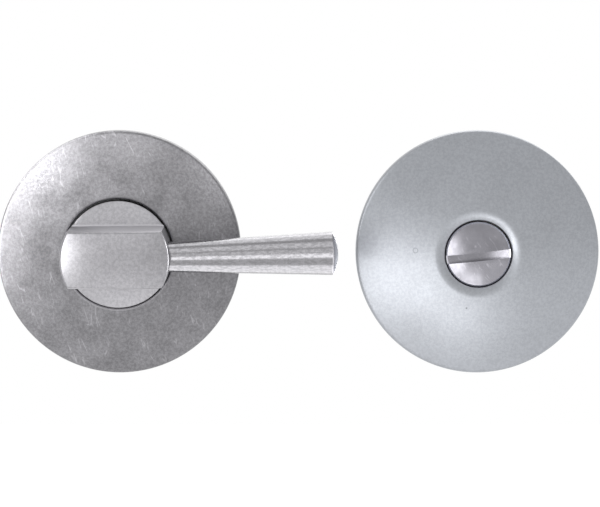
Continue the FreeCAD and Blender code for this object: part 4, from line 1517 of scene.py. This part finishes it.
class LOCK_OT_inner_pieces(bpy.types.Operator):
    """Finishes the plates, bushes, washers, clips, spindle and grub screw."""

    bl_idname = "lock.inner_pieces"
    bl_label = "Inner pieces"

    def execute(self, context):
        finish = settings().finish
        zinc = plain_metal("zinc_plate", finish.zinc)
        spring = plain_metal("spring_steel", finish.spring)
        milky = nylon(finish)
        for half in ("turn", "release"):
            finish_node(f"{half}_back_plate", zinc)
            finish_node(f"{half}_thrust_washer", zinc)
            finish_node(f"{half}_spring_washer", spring)
            finish_node(f"{half}_circlip", spring)
            finish_node(f"{half}_bush", milky)
        finish_node("spindle", plain_metal("drawn_steel", finish.bright))
        finish_node("spindle_grub_screw", plain_metal("black_oxide", finish.black))
        return {"FINISHED"}


class LOCK_OT_stage(bpy.types.Operator):
    """Sets the floor, the lamps and the camera."""

    bl_idname = "lock.stage"
    bl_label = "Stage"

    def execute(self, context):
        studio = settings().studio
        place_camera(studio)
        make_floor(studio)
        light_world(studio)
        set_lamps()
        bpy.context.scene.view_settings.view_transform = "Standard"
        return {"FINISHED"}


class LOCK_PT_panel(bpy.types.Panel):
    """Lists the pieces and their sizes."""

    bl_idname = "LOCK_PT_panel"
    bl_label = "Thumb turn lock"
    bl_space_type = "VIEW_3D"
    bl_region_type = "UI"
    bl_category = "Thumb turn lock"

    def draw(self, context):
        for operator in OPERATORS:
            self.layout.operator(operator.bl_idname)
        for name in LockSettings.__annotations__:
            box = self.layout.box()
            box.label(text=name.title())
            part = getattr(context.scene.lock_settings, name)
            for key in type(part).__annotations__:
                box.prop(part, key)


GROUP_CLASSES = (
    RoseSizes,
    StemSizes,
    KnobSizes,
    LeverSizes,
    HeadSizes,
    FixingSizes,
    Finishes,
    StudioSettings,
    LockSettings,
)
OPERATORS = (
    LOCK_OT_roses,
    LOCK_OT_knob,
    LOCK_OT_lever,
    LOCK_OT_coin_head,
    LOCK_OT_fixings,
    LOCK_OT_inner_pieces,
    LOCK_OT_stage,
)


def register():
    for each in (*GROUP_CLASSES, *OPERATORS, LOCK_PT_panel):
        bpy.utils.register_class(each)
    bpy.types.Scene.lock_settings = PointerProperty(type=LockSettings)


def unregister():
    del bpy.types.Scene.lock_settings
    for each in reversed((*GROUP_CLASSES, *OPERATORS, LOCK_PT_panel)):
        bpy.utils.unregister_class(each)


def main():
    register()
    bpy.ops.lock.roses()
    bpy.ops.lock.knob()
    bpy.ops.lock.lever()
    bpy.ops.lock.coin_head()
    bpy.ops.lock.fixings()
    bpy.ops.lock.inner_pieces()
    bpy.ops.lock.stage()


if __name__ == "__main__":
    main()
